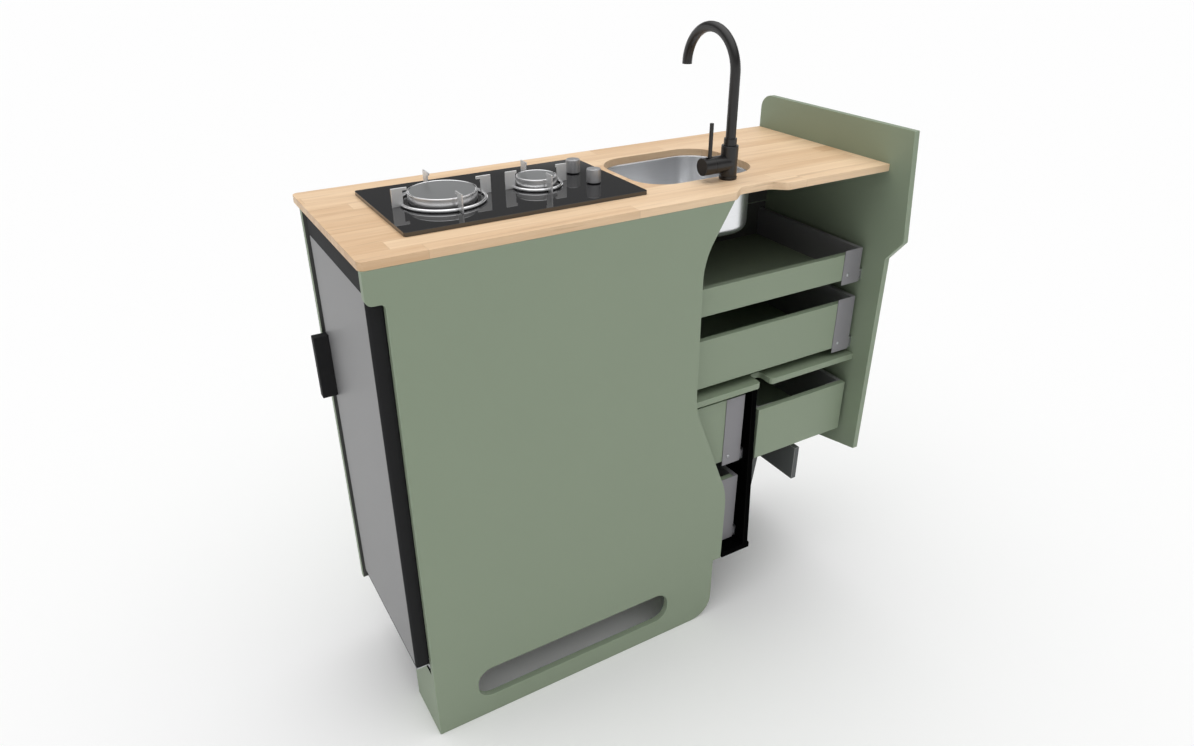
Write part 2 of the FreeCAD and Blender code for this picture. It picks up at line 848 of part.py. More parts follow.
def make_drawers():
    half_gap = d.front_gap / 2
    shelf_top = d.shelf_low + d.panel
    columns_meet = carcass_end - d.panel / 2
    wide_bay = (divider_end, d.worktop_length)
    narrow_bay = (divider_end, carcass_start)
    arch_bay = (carcass_end, d.worktop_length)
    wide_run = (divider_end, d.worktop_length - d.front_gap)
    narrow_run = (divider_end, columns_meet - half_gap)
    arch_run = (columns_meet + half_gap, d.worktop_length - d.front_gap)
    rear = d.panel + d.drawer_rear_gap
    boxes = {
        "top_drawer": (wide_meet + d.top_box_rise, fascia_low - d.top_box_headroom),
        "middle_drawer": (shelf_top + d.middle_box_rise, wide_meet - d.middle_box_headroom),
        "narrow_upper_drawer": (d.narrow_meet + d.narrow_upper_box_rise,
                                d.shelf_low - d.narrow_upper_box_headroom),
        "narrow_lower_drawer": (d.panel + d.narrow_lower_box_rise,
                                d.narrow_meet - d.narrow_lower_box_headroom),
        "arch_drawer": (d.narrow_meet + d.arch_box_rise, d.shelf_low - d.arch_box_headroom),
    }
    above_shelf = (shelf_meet + half_gap, wide_meet - half_gap)
    below_shelf = (d.narrow_meet + half_gap, shelf_meet - half_gap)
    rows = [
        ("top_drawer", wide_bay, rear, wide_run, (wide_meet + half_gap, fascia_low - d.front_gap)),
        ("middle_drawer", wide_bay, rear, wide_run, above_shelf),
        ("narrow_upper_drawer", narrow_bay, rear, narrow_run, below_shelf),
        ("narrow_lower_drawer", narrow_bay, rear, narrow_run,
         (d.plinth_high + d.front_gap, d.narrow_meet - half_gap)),
        ("arch_drawer", arch_bay, d.panel + d.arch_drawer_rear_gap, arch_run, below_shelf),
    ]
    rails = []
    for name, bay, box_rear, front_run, front_rise in rows:
        head_gap = d.wide_back_head_gap if bay is wide_bay else d.narrow_back_head_gap
        covers = bay is arch_bay
        rails += make_drawer(name, bay, box_rear, boxes[name], front_run, front_rise, head_gap, covers)
    part(group("runner_rails", rails))


def make_burner(size, spot, cap_radius, ring_radius):
    """A burner: its body through the glass, its lift-off cap and its lift-off pan support."""
    seat = hob_top + d.cap_rise
    flange_rise = (hob_top, hob_top + d.flange_thick)
    part(fuse(f"{size}_burner", [
        post(f"{size}_burner_flange", spot, cap_radius - d.flange_step, flange_rise),
        post(f"{size}_burner_crown", spot, cap_radius - d.crown_step, (hob_top, seat)),
        post(f"{size}_burner_throat", spot, cap_radius - d.throat_step, (hob_top - d.throat_drop, hob_top)),
    ]))
    cap_low = seat + d.cap_seat_gap
    cap_rise = (cap_low, cap_low + d.cap_thick)
    part(soft_disc(f"{size}_burner_cap", spot, cap_radius, cap_rise, d.cap_round))

    ring = doc.addObject("Part::Torus", f"{size}_support_ring")
    bind(ring, "Radius1", ring_radius)
    bind(ring, "Radius2", d.ring_wire)
    place(ring, along(spot[0]), across(spot[1]), hob_top + d.ring_rise)
    half = d.wing_thick / 2
    top = hob_top + d.wing_high
    far = ring_radius + d.wing_overhang
    shapes = {
        "body": (ring_radius - d.wing_root, (hob_top, top)),
        "tip": (cap_radius + d.wing_gap, (top - d.wing_tip_thick, top)),
    }
    inline = (spot[0] - half, spot[0] + half)
    beside = (spot[1] - half, spot[1] + half)
    wings = []
    for shape, (near, rise) in shapes.items():
        for side, (low, high) in {"a": (near, far), "b": (-far, -near)}.items():
            name = f"{size}_wing_{shape}_{side}"
            wings.append(board(f"{name}_along", (spot[0] + low, spot[0] + high), beside, rise))
            wings.append(board(f"{name}_across", inline, (spot[1] + low, spot[1] + high), rise))
    part(fuse(f"{size}_pan_support", [ring] + wings))


def make_knob(name, spot):
    rest = hob_top + d.rest_gap
    grip = soft_disc(f"{name}_grip", spot, d.knob_radius, (rest, rest + d.knob_high), d.knob_round)
    shaft = post(f"{name}_shaft", spot, d.knob_shaft_radius, (hob_top - d.knob_shaft_drop, rest))
    part(fuse(name, [grip, shaft]))


def make_hob():
    def fitted(size):
        """A size of the usual hob, changed in step with this hob's length."""
        return size * d.hob_length / d.hob_usual_length

    large_run = d.hob_start + fitted(d.large_burner_inset)
    small_run = hob_end - fitted(d.small_burner_inset)
    knob_run = hob_end - fitted(d.knob_inset)
    burners = {
        "large": ((large_run, burner_rear), fitted(d.large_cap_radius), d.large_ring_margin),
        "small": ((small_run, burner_rear), fitted(d.small_cap_radius), d.small_ring_margin),
    }
    knobs = {
        "hob_knob_front": (knob_run, burner_rear + d.knob_spread / 2),
        "hob_knob_rear": (knob_run, burner_rear - d.knob_spread / 2),
    }
    holes = [(spot, d.knob_shaft_radius + d.knob_shaft_gap) for spot in knobs.values()]
    for size, (spot, cap_radius, ring_margin) in burners.items():
        holes.append((spot, cap_radius - d.throat_step + d.throat_gap))
        make_burner(size, spot, cap_radius, cap_radius + ring_margin)
    for name, spot in knobs.items():
        make_knob(name, spot)
    glass = rectangle((d.hob_start, hob_end), (hob_rear, hob_front), d.hob_corner)
    part(level_board("hob_glass", [glass], d.hob_thick, d.worktop_height, holes))

    inset = d.hob_inset + d.tray_gap
    wall = d.tray_wall
    run = (d.hob_start + inset, hob_end - inset)
    deep = (hob_rear + inset, hob_front - inset)
    shell = board("tray_shell", run, deep, (tray_low, d.worktop_height))
    hollow_run = (run[0] + wall, run[1] - wall)
    hollow_deep = (deep[0] + wall, deep[1] - wall)
    hollow = board("tray_hollow", hollow_run, hollow_deep, (tray_low + wall, d.worktop_height + d.overrun))
    pipe_x = along(divider_start - d.gas_pipe_gap)
    pipe_z = tray_low + d.gas_pipe_rise
    inner_y = across(deep[0] + wall)
    rearwards = (0, 1, 0)
    port_start = (pipe_x, inner_y - d.overrun, pipe_z)
    port = bar("tray_port", port_start, d.gas_pipe_radius, wall + d.overrun * 2, rearwards)
    part(cut("hob_tray", shell, [hollow, port]))

    nut_start = (pipe_x, across(deep[0]), pipe_z)
    part(fuse("gas_inlet", [
        bar("gas_pipe", (pipe_x, inner_y, pipe_z), d.gas_pipe_radius, d.gas_pipe_length, rearwards),
        bar("gas_nut", nut_start, d.gas_nut_radius, d.gas_nut_length, rearwards),
    ]))


def make_sink():
    wall = d.sink_wall
    bottom = under_worktop - d.sink_drop
    inner_low = bottom + wall
    lip_run = (sink_start - d.sink_lip, sink_end + d.sink_lip)
    lip_deep = (sink_rear - d.sink_rear_lip, sink_front + d.sink_lip)
    lip_plan = rectangle(lip_run, lip_deep, d.sink_corner)
    lip = level_board("sink_lip_plate", [lip_plan], wall, under_worktop - wall)
    outer_run = (sink_start - wall, sink_end + wall)
    outer_deep = (sink_rear - wall, sink_front + wall)
    outer_plan = rectangle(outer_run, outer_deep, d.sink_corner + wall)
    outer = level_board("sink_outer", [outer_plan], d.sink_drop, bottom)
    round_edges(outer, "sink_outer_round", d.sink_bottom_round, at_height(0))
    inner_plan = rectangle((sink_start, sink_end), (sink_rear, sink_front), d.sink_corner)
    inner = level_board("sink_inner", [inner_plan], d.sink_drop + d.overrun, inner_low)
    round_edges(inner, "sink_inner_round", d.sink_bottom_round - wall, at_height(0))
    hole_rise = (bottom - d.overrun, inner_low + d.overrun)
    hole = post("sink_waste_hole", sink_spot, d.waste_neck_radius + d.waste_neck_gap, hole_rise)
    part(cut("sink_bowl", fuse("sink_solid", [lip, outer]), [inner, hole]))

    rim_top = inner_low + d.waste_rim_thick
    spigot_start = (along(sink_spot[0]), across(sink_spot[1]), bottom - d.waste_spigot_drop)
    rearwards = (0, 1, 0)
    waste = fuse("waste_solid", [
        post("waste_neck", sink_spot, d.waste_neck_radius, (bottom, inner_low)),
        post("waste_rim", sink_spot, d.waste_rim_radius, (inner_low, rim_top)),
        post("waste_cup", sink_spot, d.waste_cup_radius, (bottom - d.waste_cup_drop, bottom)),
        bar("waste_collar", spigot_start, d.waste_collar_radius, d.waste_collar_length, rearwards),
        bar("waste_spigot", spigot_start, d.waste_spigot_radius, d.waste_spigot_length, rearwards),
    ])
    bore_radius = d.waste_neck_radius - d.waste_wall
    bore = post("waste_bore", sink_spot, bore_radius, (bottom - d.waste_bore_drop, rim_top + d.overrun))
    part(cut("sink_waste", waste, [bore]))

    seat = rim_top + d.cap_seat_gap
    cap_top = seat + d.strainer_cap_thick
    part(fuse("sink_strainer", [
        post("strainer_cap", sink_spot, d.strainer_cap_radius, (seat, cap_top)),
        post("strainer_basket", sink_spot, bore_radius - d.strainer_gap, (seat - d.strainer_drop, seat)),
        post("strainer_knob", sink_spot, d.strainer_knob_radius, (cap_top, cap_top + d.strainer_knob_high)),
    ]))


def make_tap():
    top = d.worktop_height
    body_top = top + d.tap_body_high
    axis = (along(tap_spot[0]), across(tap_spot[1]), top + d.mixer_high)
    sideways = (1, 0, 0)

    def beside(distance):
        """A point of the mixer's axis at a distance from the tap's own axis."""
        return (axis[0] + distance, axis[1], axis[2])

    solid = fuse("tap_solid", [
        post("tap_foot", tap_spot, d.tap_base_radius, (top, top + d.tap_base_high)),
        post("tap_barrel", tap_spot, d.tap_body_radius, (top, body_top)),
        post("tap_shank", tap_spot, d.tap_shank_radius, (top - d.tap_shank_drop, top)),
        bar("mixer_housing", axis, d.mixer_radius, d.mixer_reach, sideways),
    ])
    socket_rise = (body_top - d.spout_plug_drop - d.rest_gap, body_top + d.overrun)
    socket = post("tap_socket", tap_spot, d.spout_plug_radius + d.spout_plug_gap, socket_rise)
    axle_hole = bar("tap_axle_hole", beside(d.mixer_reach - d.hub_axle_depth - d.rest_gap),
                    d.hub_axle_radius + d.hub_axle_gap, d.hub_axle_depth + d.overrun, sideways)
    part(cut("tap_body", solid, [socket, axle_hole]))

    make_spout(body_top + d.rest_gap)

    hub_start = d.mixer_reach + d.hub_gap
    hub = fuse("hub_solid", [
        bar("hub_barrel", beside(hub_start), d.mixer_radius, d.hub_length, sideways),
        bar("hub_axle", beside(hub_start - d.hub_axle_depth), d.hub_axle_radius, d.hub_axle_depth, sideways),
    ])
    half = d.lever_radius + d.lever_slot_gap
    lever_spot = (tap_spot[0] - hub_start - d.lever_offset, tap_spot[1])
    slot_run = (lever_spot[0] - d.lever_slot_reach, lever_spot[0] + half)
    slot_deep = (lever_spot[1] - half, lever_spot[1] + half)
    slot = board("hub_slot", slot_run, slot_deep, (axis[2] - half, axis[2] + d.mixer_radius))
    part(cut("tap_lever_hub", hub, [slot]))

    lever_rise = (axis[2], top + d.lever_high)
    part(soft_disc("tap_lever", lever_spot, d.lever_radius, lever_rise, d.lever_round))


def make_spout(low):
    """The swivelling spout: a plug in the tap's body, a collar and a bent tube with an open mouth."""
    body = doc.addObject("PartDesign::Body", "tap_spout")
    neck = d.worktop_height + d.spout_bend_high - low
    bend = d.spout_bend_radius
    path = new_sketch(body, "spout_path", "YZ_Plane")
    foot = FreeCAD.Vector(0, 0, 0)
    start = FreeCAD.Vector(0, neck.value, 0)
    crown = FreeCAD.Vector(-bend.value, (neck + bend).value, 0)
    end = FreeCAD.Vector(-bend.value * 2, neck.value, 0)
    path.addGeometry(Part.LineSegment(foot, start))
    path.addGeometry(Part.Arc(start, crown, end))
    section = new_sketch(body, "spout_section", "XY_Plane")
    draw_circle(section, 0, 0, d.spout_radius)
    doc.recompute()
    tube = body.newObject("PartDesign::AdditivePipe", "spout_tube")
    tube.Profile = section
    tube.Spine = (path, ["Edge1", "Edge2"])

    collar = new_sketch(body, "spout_collar_outline", "XY_Plane")
    draw_circle(collar, 0, 0, d.spout_collar_radius)
    pad(body, "spout_collar", collar, d.spout_collar_high)
    plug = new_sketch(body, "spout_plug_outline", "XY_Plane")
    draw_circle(plug, 0, 0, d.spout_plug_radius)
    pad(body, "spout_plug", plug, d.spout_plug_drop).Reversed = True

    mouth = new_sketch(body, "spout_mouth_outline", "XY_Plane")
    bind(mouth, "AttachmentOffset.Base.z", neck)
    draw_circle(mouth, 0, -bend * 2, d.spout_radius - d.spout_wall)
    bore = body.newObject("PartDesign::Pocket", "spout_mouth")
    bore.Profile = mouth
    bore.Reversed = True
    bind(bore, "Length", d.spout_mouth_depth)
    place(body, along(tap_spot[0]), across(tap_spot[1]), low)
    part(body)


def make_fridge():
    rear = d.panel + d.fridge_rear_gap
    front = front_inner - d.fridge_front_gap
    stand = d.panel
    machine_start = fridge_end - d.machine_length
    machine_top = stand + d.machine_high
    mouth = fridge_start - d.overrun

    def rooms(name, start, inset):
        """The upper room and the lower one beside the machine bay, inset from the fridge's outside."""
        deep = (rear + inset, front - inset)
        upper_rise = (machine_top + inset, fridge_top - inset)
        lower_rise = (stand + inset, machine_top + inset + d.overrun)
        return [
            board(f"{name}_upper", (start, fridge_end - inset), deep, upper_rise),
            board(f"{name}_lower", (start, machine_start - inset), deep, lower_rise),
        ]

    skin = d.fridge_skin
    shell = board("fridge_shell", (fridge_start, fridge_end), (rear, front), (stand, fridge_top))
    machine_run = (machine_start, fridge_end + d.overrun)
    machine_deep = (rear - d.overrun, front + d.overrun)
    machine = board("fridge_machine_bay", machine_run, machine_deep, (stand - d.overrun, machine_top))
    part(cut("fridge_cabinet", shell, rooms("fridge_hollow", mouth, skin) + [machine]))

    wall = d.fridge_wall
    flange_run = (fridge_start, fridge_start + d.fridge_liner_skin)
    flange_rise = (stand + skin, fridge_top - skin)
    flange = board("fridge_flange", flange_run, (rear + skin, front - skin), flange_rise)
    tub = fuse("fridge_tub", rooms("fridge_tub", fridge_start, wall - d.fridge_liner_skin) + [flange])
    part(cut("fridge_liner", tub, rooms("fridge_room", mouth, wall)))

    inside = (rear + wall, front - wall)
    shelf_run = (door_inner + d.liner_thick + d.rack_depth + d.rack_clear, fridge_end - wall)
    shelves = []
    for index, rise in enumerate((d.fridge_shelf_low_rise, d.fridge_shelf_high_rise)):
        low = stand + rise
        shelves.append(board(f"fridge_shelf_{index}", shelf_run, inside, (low, low + d.fridge_shelf_thick)))
    part(group("fridge_shelves", shelves))

    spot = (fridge_end - d.machine_length / 2, (rear + front) / 2)
    half = d.compressor_plate_half
    plate_top = stand + d.compressor_plate
    pot_rise = (plate_top, plate_top + d.compressor_high)
    pot = soft_disc("compressor_pot", spot, d.compressor_radius, pot_rise, d.compressor_round)
    plate_run = (spot[0] - half, spot[0] + half)
    plate = board("compressor_foot", plate_run, (spot[1] - half, spot[1] + half), (stand, plate_top))
    part(fuse("fridge_compressor", [pot, plate]))


def make_fridge_door():
    rear = d.panel + d.door_rear_gap
    front = front_inner - d.door_front_gap
    low = d.panel + d.door_rise
    high = fridge_top - d.door_head_gap
    slab_top = under_worktop - d.hinge_plate_thick - d.door_head_gap
    slab_front = front + d.door_front_lip
    axis = (d.door_start + d.door_hinge_inset, rear + d.door_hinge_inset)
    plan = [
        (d.door_start, rear, d.door_hinge_inset),
        (door_inner, rear, 0),
        (door_inner, slab_front, 0),
        (d.door_start, slab_front, d.door_edge_round),
    ]
    slab = level_board("door_slab", [plan], slab_top - low, low)
    rim = d.door_panel_rim
    panel_run = (d.door_start, d.door_start + d.door_panel_thick)
    panel_deep = (rear + d.door_hinge_inset, front - rim)
    panel_rise = (low + rim, high - rim)
    ledge = d.door_panel_ledge
    core_run = (d.door_start, door_inner - d.door_back_skin)
    core_deep = (panel_deep[0] + ledge, panel_deep[1] - ledge)
    core_rise = (panel_rise[0] + ledge, panel_rise[1] - ledge)
    bore = d.hinge_pin_radius + d.hinge_pin_gap
    part(cut("door_frame", slab, [
        board("door_recess", (d.door_start - d.overrun, panel_run[1]), panel_deep, panel_rise),
        board("door_core", core_run, core_deep, core_rise),
        post("door_bore_top", axis, bore, (slab_top - d.hinge_pin_depth, slab_top + d.overrun)),
        post("door_bore_low", axis, bore, (low - d.overrun, low + d.hinge_pin_depth)),
    ]))
    part(board("door_panel", panel_run, panel_deep, panel_rise))

    edge = d.gasket_inset
    width = d.gasket_width
    seal_run = (door_inner, door_inner + d.gasket_thick)
    seal_deep = (rear + edge, front - edge)
    seal_rise = (low + edge, high - edge)
    hole_run = (seal_run[0] - d.overrun, seal_run[1] + d.overrun)
    hole_deep = (seal_deep[0] + width, seal_deep[1] - width)
    hole_rise = (seal_rise[0] + width, seal_rise[1] - width)
    seal = board("gasket_blank", seal_run, seal_deep, seal_rise)
    part(cut("door_gasket", seal, [board("gasket_hole", hole_run, hole_deep, hole_rise)]))

    make_door_liner((rear + d.liner_inset, front - d.liner_inset), low, high)
    make_hinges(axis, low, slab_top)
    make_handle(front, low)


def make_door_liner(deep, low, high):
    """The inner face of the door, and the two racks that clip onto it."""
    face_end = door_inner + d.liner_thick
    rack_end = face_end + d.rack_depth
    wall = d.rack_wall
    part(board("door_liner", (door_inner, face_end), deep, (low + d.liner_inset, high - d.liner_inset)))
    racks = []
    for index, rise in enumerate((d.rack_low_rise, d.rack_high_rise)):
        rack_low = low + rise
        rack_top = rack_low + d.rack_high
        block = board(f"rack_{index}_block", (face_end, rack_end), deep, (rack_low, rack_top))
        room_deep = (deep[0] + wall, deep[1] - wall)
        room_rise = (rack_low + wall, rack_top + d.overrun)
        room = board(f"rack_{index}_room", (face_end - d.overrun, rack_end - wall), room_deep, room_rise)
        racks.append(cut(f"rack_{index}", block, [room]))
    part(group("door_racks", racks))


def make_hinges(axis, low, high):
    """Two hinge plates, under the worktop and at the fridge's foot, each with a pin for the door."""
    rear = d.panel + d.fridge_rear_gap
    deep = (rear, rear + d.hinge_plate_width)
    thick = d.hinge_plate_thick
    top_rise = (under_worktop - thick, under_worktop)
    top_pin_rise = (high - d.hinge_pin_depth + d.rest_gap, top_rise[1])
    upper = fuse("upper_hinge", [
        board("upper_hinge_plate", (d.door_start, fridge_start + d.hinge_plate_run), deep, top_rise),
        post("upper_hinge_pin", axis, d.hinge_pin_radius, top_pin_rise),
    ])
    plate_top = low - d.hinge_lower_drop
    plate_low = plate_top - thick
    low_pin_rise = (plate_low, low + d.hinge_pin_depth - d.rest_gap)
    lower = fuse("lower_hinge", [
        board("lower_hinge_plate", (d.door_start, fridge_start), deep, (plate_low, plate_top)),
        board("lower_hinge_leg", (fridge_start - thick, fridge_start), deep, (d.panel, plate_top)),
        post("lower_hinge_pin", axis, d.hinge_pin_radius, low_pin_rise),
    ])
    part(group("door_hinges", [upper, lower]))


def make_handle(front, door_low):
    """The edge pull on the door, hollow on the side that the fingers reach into."""
    wall = d.handle_wall
    run = (d.door_start - d.handle_reach, d.door_start)
    deep = (front - d.handle_inset - d.handle_width, front - d.handle_inset)
    low = door_low + d.handle_rise
    high = low + d.handle_length
    plan = [
        (run[0], deep[0], d.handle_round),
        (run[0], deep[1], d.handle_round),
        (run[1], deep[1], 0),
        (run[1], deep[0], 0),
    ]
    block = level_board("handle_block", [plan], d.handle_length, low)
    grip_run = (run[0] + wall, run[1] - wall)
    grip_deep = (deep[0] + wall, deep[1] + d.overrun)
    grip = board("handle_grip", grip_run, grip_deep, (low + wall, high - wall))
    part(cut("door_handle", block, [grip]))


def export():
    """Checks every object, then writes one file for each sub-part."""
    doc.recompute()
    for item in doc.Objects:
        if "Invalid" in item.State or "Error" in item.State:
            raise RuntimeError(f"{item.Label} failed: {item.State}")
    for item in sub_parts:
        if item.Shape.isNull() or not item.Shape.isValid():
            raise RuntimeError(f"{item.Label} has no valid shape")
    os.makedirs("parts", exist_ok=True)
    for item in sub_parts:
        item.Shape.exportStep(f"parts/{item.Label}.step")
    print(len(sub_parts), "sub-parts written")


make_worktop()
make_back_panel()
make_front_panel()
make_end_panel()
make_fridge_divider()
make_drawer_carcass()
make_drawers()
make_hob()
make_sink()
make_tap()
make_fridge()
make_fridge_door()
export()
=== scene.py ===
import json
import math
from functools import partial
from types import SimpleNamespace

import bmesh
import bpy
from bpy.props import FloatProperty, FloatVectorProperty, IntProperty, PointerProperty
from bpy.types import Operator, Panel, PropertyGroup
from mathutils import Euler, Matrix, Vector

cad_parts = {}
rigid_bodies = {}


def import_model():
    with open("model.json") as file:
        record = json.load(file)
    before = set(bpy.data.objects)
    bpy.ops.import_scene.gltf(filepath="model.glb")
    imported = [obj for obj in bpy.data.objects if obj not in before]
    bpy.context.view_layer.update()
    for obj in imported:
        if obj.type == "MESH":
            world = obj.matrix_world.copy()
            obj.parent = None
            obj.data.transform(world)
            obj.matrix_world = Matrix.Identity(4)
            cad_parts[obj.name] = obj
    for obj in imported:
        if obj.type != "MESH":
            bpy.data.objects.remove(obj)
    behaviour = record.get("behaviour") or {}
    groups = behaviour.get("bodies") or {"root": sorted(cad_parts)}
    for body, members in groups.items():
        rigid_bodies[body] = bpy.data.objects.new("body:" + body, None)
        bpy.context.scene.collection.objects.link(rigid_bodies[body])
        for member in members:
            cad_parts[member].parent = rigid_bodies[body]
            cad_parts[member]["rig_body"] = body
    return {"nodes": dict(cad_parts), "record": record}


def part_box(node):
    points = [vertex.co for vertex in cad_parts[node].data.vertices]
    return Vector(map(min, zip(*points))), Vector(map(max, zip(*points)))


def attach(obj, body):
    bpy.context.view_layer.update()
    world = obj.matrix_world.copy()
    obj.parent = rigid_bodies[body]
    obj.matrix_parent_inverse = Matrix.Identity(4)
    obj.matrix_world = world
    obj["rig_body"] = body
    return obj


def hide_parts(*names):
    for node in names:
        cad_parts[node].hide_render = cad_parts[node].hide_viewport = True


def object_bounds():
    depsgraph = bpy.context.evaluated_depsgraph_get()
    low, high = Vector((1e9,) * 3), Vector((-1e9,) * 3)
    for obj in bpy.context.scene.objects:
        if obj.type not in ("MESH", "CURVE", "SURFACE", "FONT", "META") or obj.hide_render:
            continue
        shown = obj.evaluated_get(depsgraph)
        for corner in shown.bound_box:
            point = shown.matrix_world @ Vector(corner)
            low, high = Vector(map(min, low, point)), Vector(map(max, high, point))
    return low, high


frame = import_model()
cad_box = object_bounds()

bl_info = {
    "name": "Campervan kitchen pod",
    "version": (1, 0, 0),
    "blender": (4, 5, 0),
    "location": "3D View > Sidebar > Kitchen pod",
    "description": "Dresses the solids of a kitchen pod and sets up its studio",
    "category": "Object",
}

SLOT_OF = {row["node"]: row["material_slot"] for row in frame["record"]["subparts"]}
DRAWERS = (
    "top_drawer", "middle_drawer", "narrow_upper_drawer", "narrow_lower_drawer", "arch_drawer")
UPRIGHT = (0.0, 0.0, 0.0)
REARWARDS = (-math.pi / 2, 0.0, 0.0)
SIDEWAYS = (0.0, math.pi / 2, 0.0)
FLAT_ANGLE = math.radians(0.4)
EASED_ANGLE = math.radians(40)
CRISP_ANGLE = math.radians(32)
SOLID_WELD = 2e-6
TURNED_WELD = 1e-6
REAR_FACING = 0.9
STRAINER_KNOB = 0.012
STRAINER_PLATE = 0.0025
SHELF_THICKNESS = 0.006


def colour(label, words, value):
    return FloatVectorProperty(
        name=label, description=words, subtype="COLOR", size=3, min=0, max=1, default=value)


def length(label, words, value):
    return FloatProperty(
        name=label, description=words, subtype="DISTANCE", unit="LENGTH", min=0, default=value)


def number(label, words, value):
    return FloatProperty(name=label, description=words, min=0, default=value)


def count(label, words, value):
    return IntProperty(name=label, description=words, min=8, default=value)


class PodColours(PropertyGroup):
    """Colours of the pod's finishes."""

    sage: colour("Sage", "Paint on the boards", (0.27, 0.329, 0.235))
    # The eased edges are lighter than the faces: partly worn paint, partly a painted highlight.
    sage_edge: colour("Sage edge", "Paint on the boards' eased edges", (0.31, 0.38, 0.275))
    black_film: colour("Black film", "Film on the black boards", (0.0012, 0.0012, 0.0012))
    leg_grey: colour("Leg grey", "Film on the wheel arch leg", (0.115, 0.122, 0.122))
    leg_edge: colour("Leg edge", "Edges of that leg", (0.3, 0.3, 0.295))
    oak_pale: colour("Pale oak", "Palest staves of the worktop", (0.97, 0.73, 0.49))
    oak_warm: colour("Warm oak", "Darkest staves of the worktop", (0.7, 0.45, 0.25))
    oak_streak: colour("Oak streak", "Dark streaks in the staves", (0.34, 0.185, 0.085))
    drawer_grey: colour("Drawer grey", "Powder coat on the drawer sides", (0.25, 0.245, 0.26))
    zinc: colour("Zinc", "Plating on rails, hinges and screws", (0.55, 0.56, 0.58))
    glass_black: colour("Black glass", "Hob glass", (0.01, 0.01, 0.011))
    glass_rim: colour("Glass rim", "Edges of hob glass and shelves", (0.03, 0.034, 0.034))
    enamel_black: colour("Black enamel", "Tray under the hob", (0.025, 0.025, 0.027))
    alloy: colour("Alloy", "Burner bodies", (0.42, 0.42, 0.43))
    cap_grey: colour("Cap grey", "Tops of the burner caps", (0.38, 0.39, 0.395))
    polished: colour("Polished steel", "Rings of the pan supports and rims", (0.8, 0.8, 0.81))
    satin: colour("Satin steel", "Wings of the pan supports", (0.76, 0.76, 0.76))
    # Painted shade: this dark colour on the front boards' inner faces stands in for the shade
    # inside the pod.
    inside_dark: colour("Inside dark", "Front boards' inner faces", (0.095, 0.098, 0.092))
    knob_steel: colour("Knob steel", "Hob knobs", (0.8, 0.8, 0.81))
    knob_mark: colour("Knob mark", "Pointer lines of the hob knobs", (0.75, 0.75, 0.74))
    knob_gap: colour("Knob gap", "Shadow gap under a hob knob", (0.004, 0.004, 0.004))
    sink_steel: colour("Sink steel", "Sink bowl and strainer", (0.82, 0.83, 0.845))
    brass: colour("Brass", "Gas inlet", (0.58, 0.4, 0.15))
    waste_black: colour("Waste black", "Moulded waste fitting", (0.03, 0.03, 0.03))
    tap_black: colour("Tap black", "Matt coat on the tap", (0.01, 0.009, 0.009))
    shell_grey: colour("Shell grey", "Coat on the fridge cabinet", (0.035, 0.035, 0.042))
    shelf_glass: colour("Shelf glass", "Fridge shelves", (0.86, 0.93, 0.92))
    compressor_black: colour("Compressor black", "Lacquer on the compressor", (0.012, 0.012, 0.012))
    door_black: colour("Door black", "Door frame and handle", (0.022, 0.022, 0.023))
    door_grey: colour("Door grey", "Sheet on the fridge door", (0.218, 0.218, 0.221))
    rubber: colour("Rubber", "Door gasket", (0.03, 0.03, 0.031))
    liner_white: colour("Liner white", "Fridge and door liners", (0.77, 0.78, 0.78))
    rack_pale: colour("Rack plastic", "Door racks", (0.66, 0.7, 0.72))


class PodSizes(PropertyGroup):
    """Sizes of details that the solids leave out."""

    board_edge: length("Board edge", "Width of a board's eased edge", 0.0009)
    sheet_edge: length("Sheet edge", "Width of a metal sheet's eased edge", 0.0004)
    glass_edge: length("Glass edge", "Width of the hob glass's polished edge", 0.0012)
    stave_width: length("Stave width", "Width of one strip of the worktop", 0.041)
    stave_length: length("Stave length", "Length of one strip of the worktop", 0.42)
    screw_radius: length("Screw radius", "Radius of a screw's head", 0.0042)
    screw_inset: length("Screw inset", "From the drawer's side to a bracket's screw", 0.026)
    screw_rise: length("Screw rise", "Height of that screw on the drawer's back", 0.012)
    support_wire: length("Support wire", "Radius of a pan support's wire", 0.0033)
    support_rise: length("Support rise", "Height of that wire's middle above the glass", 0.0035)
    wing_overhang: length("Wing overhang", "Reach of a pan support's wing past its ring", 0.018)
    wing_root: length("Wing root", "Reach of that wing inside its ring", 0.004)
    wing_tip: length("Wing tip", "Height of that wing's tip", 0.006)
    bowl_length: length("Bowl length", "Length of the sink's opening", 0.3)
    bowl_depth: length("Bowl depth", "Depth of that opening", 0.24)
    bowl_corner: length("Bowl corner", "Radius of its corners", 0.075)
    rim_bead: length("Rim bead", "Radius of the sink's rolled rim", 0.0017)
    port_depth: length("Port depth", "Depth of a flame port in a burner's crown", 0.004)
    large_ports: count("Large ports", "Flame ports of the large burner", 48)
    small_ports: count("Small ports", "Flame ports of the small burner", 30)
    strainer_hole: length("Strainer hole", "Radius of the strainer's holes", 0.0014)
    aerator_hole: length("Aerator hole", "Radius of the aerator's holes", 0.0007)
    ledge_height: length("Ledge height", "Height of a shelf ledge in the fridge", 0.006)
    ledge_reach: length("Ledge reach", "Reach of that ledge from the liner", 0.008)


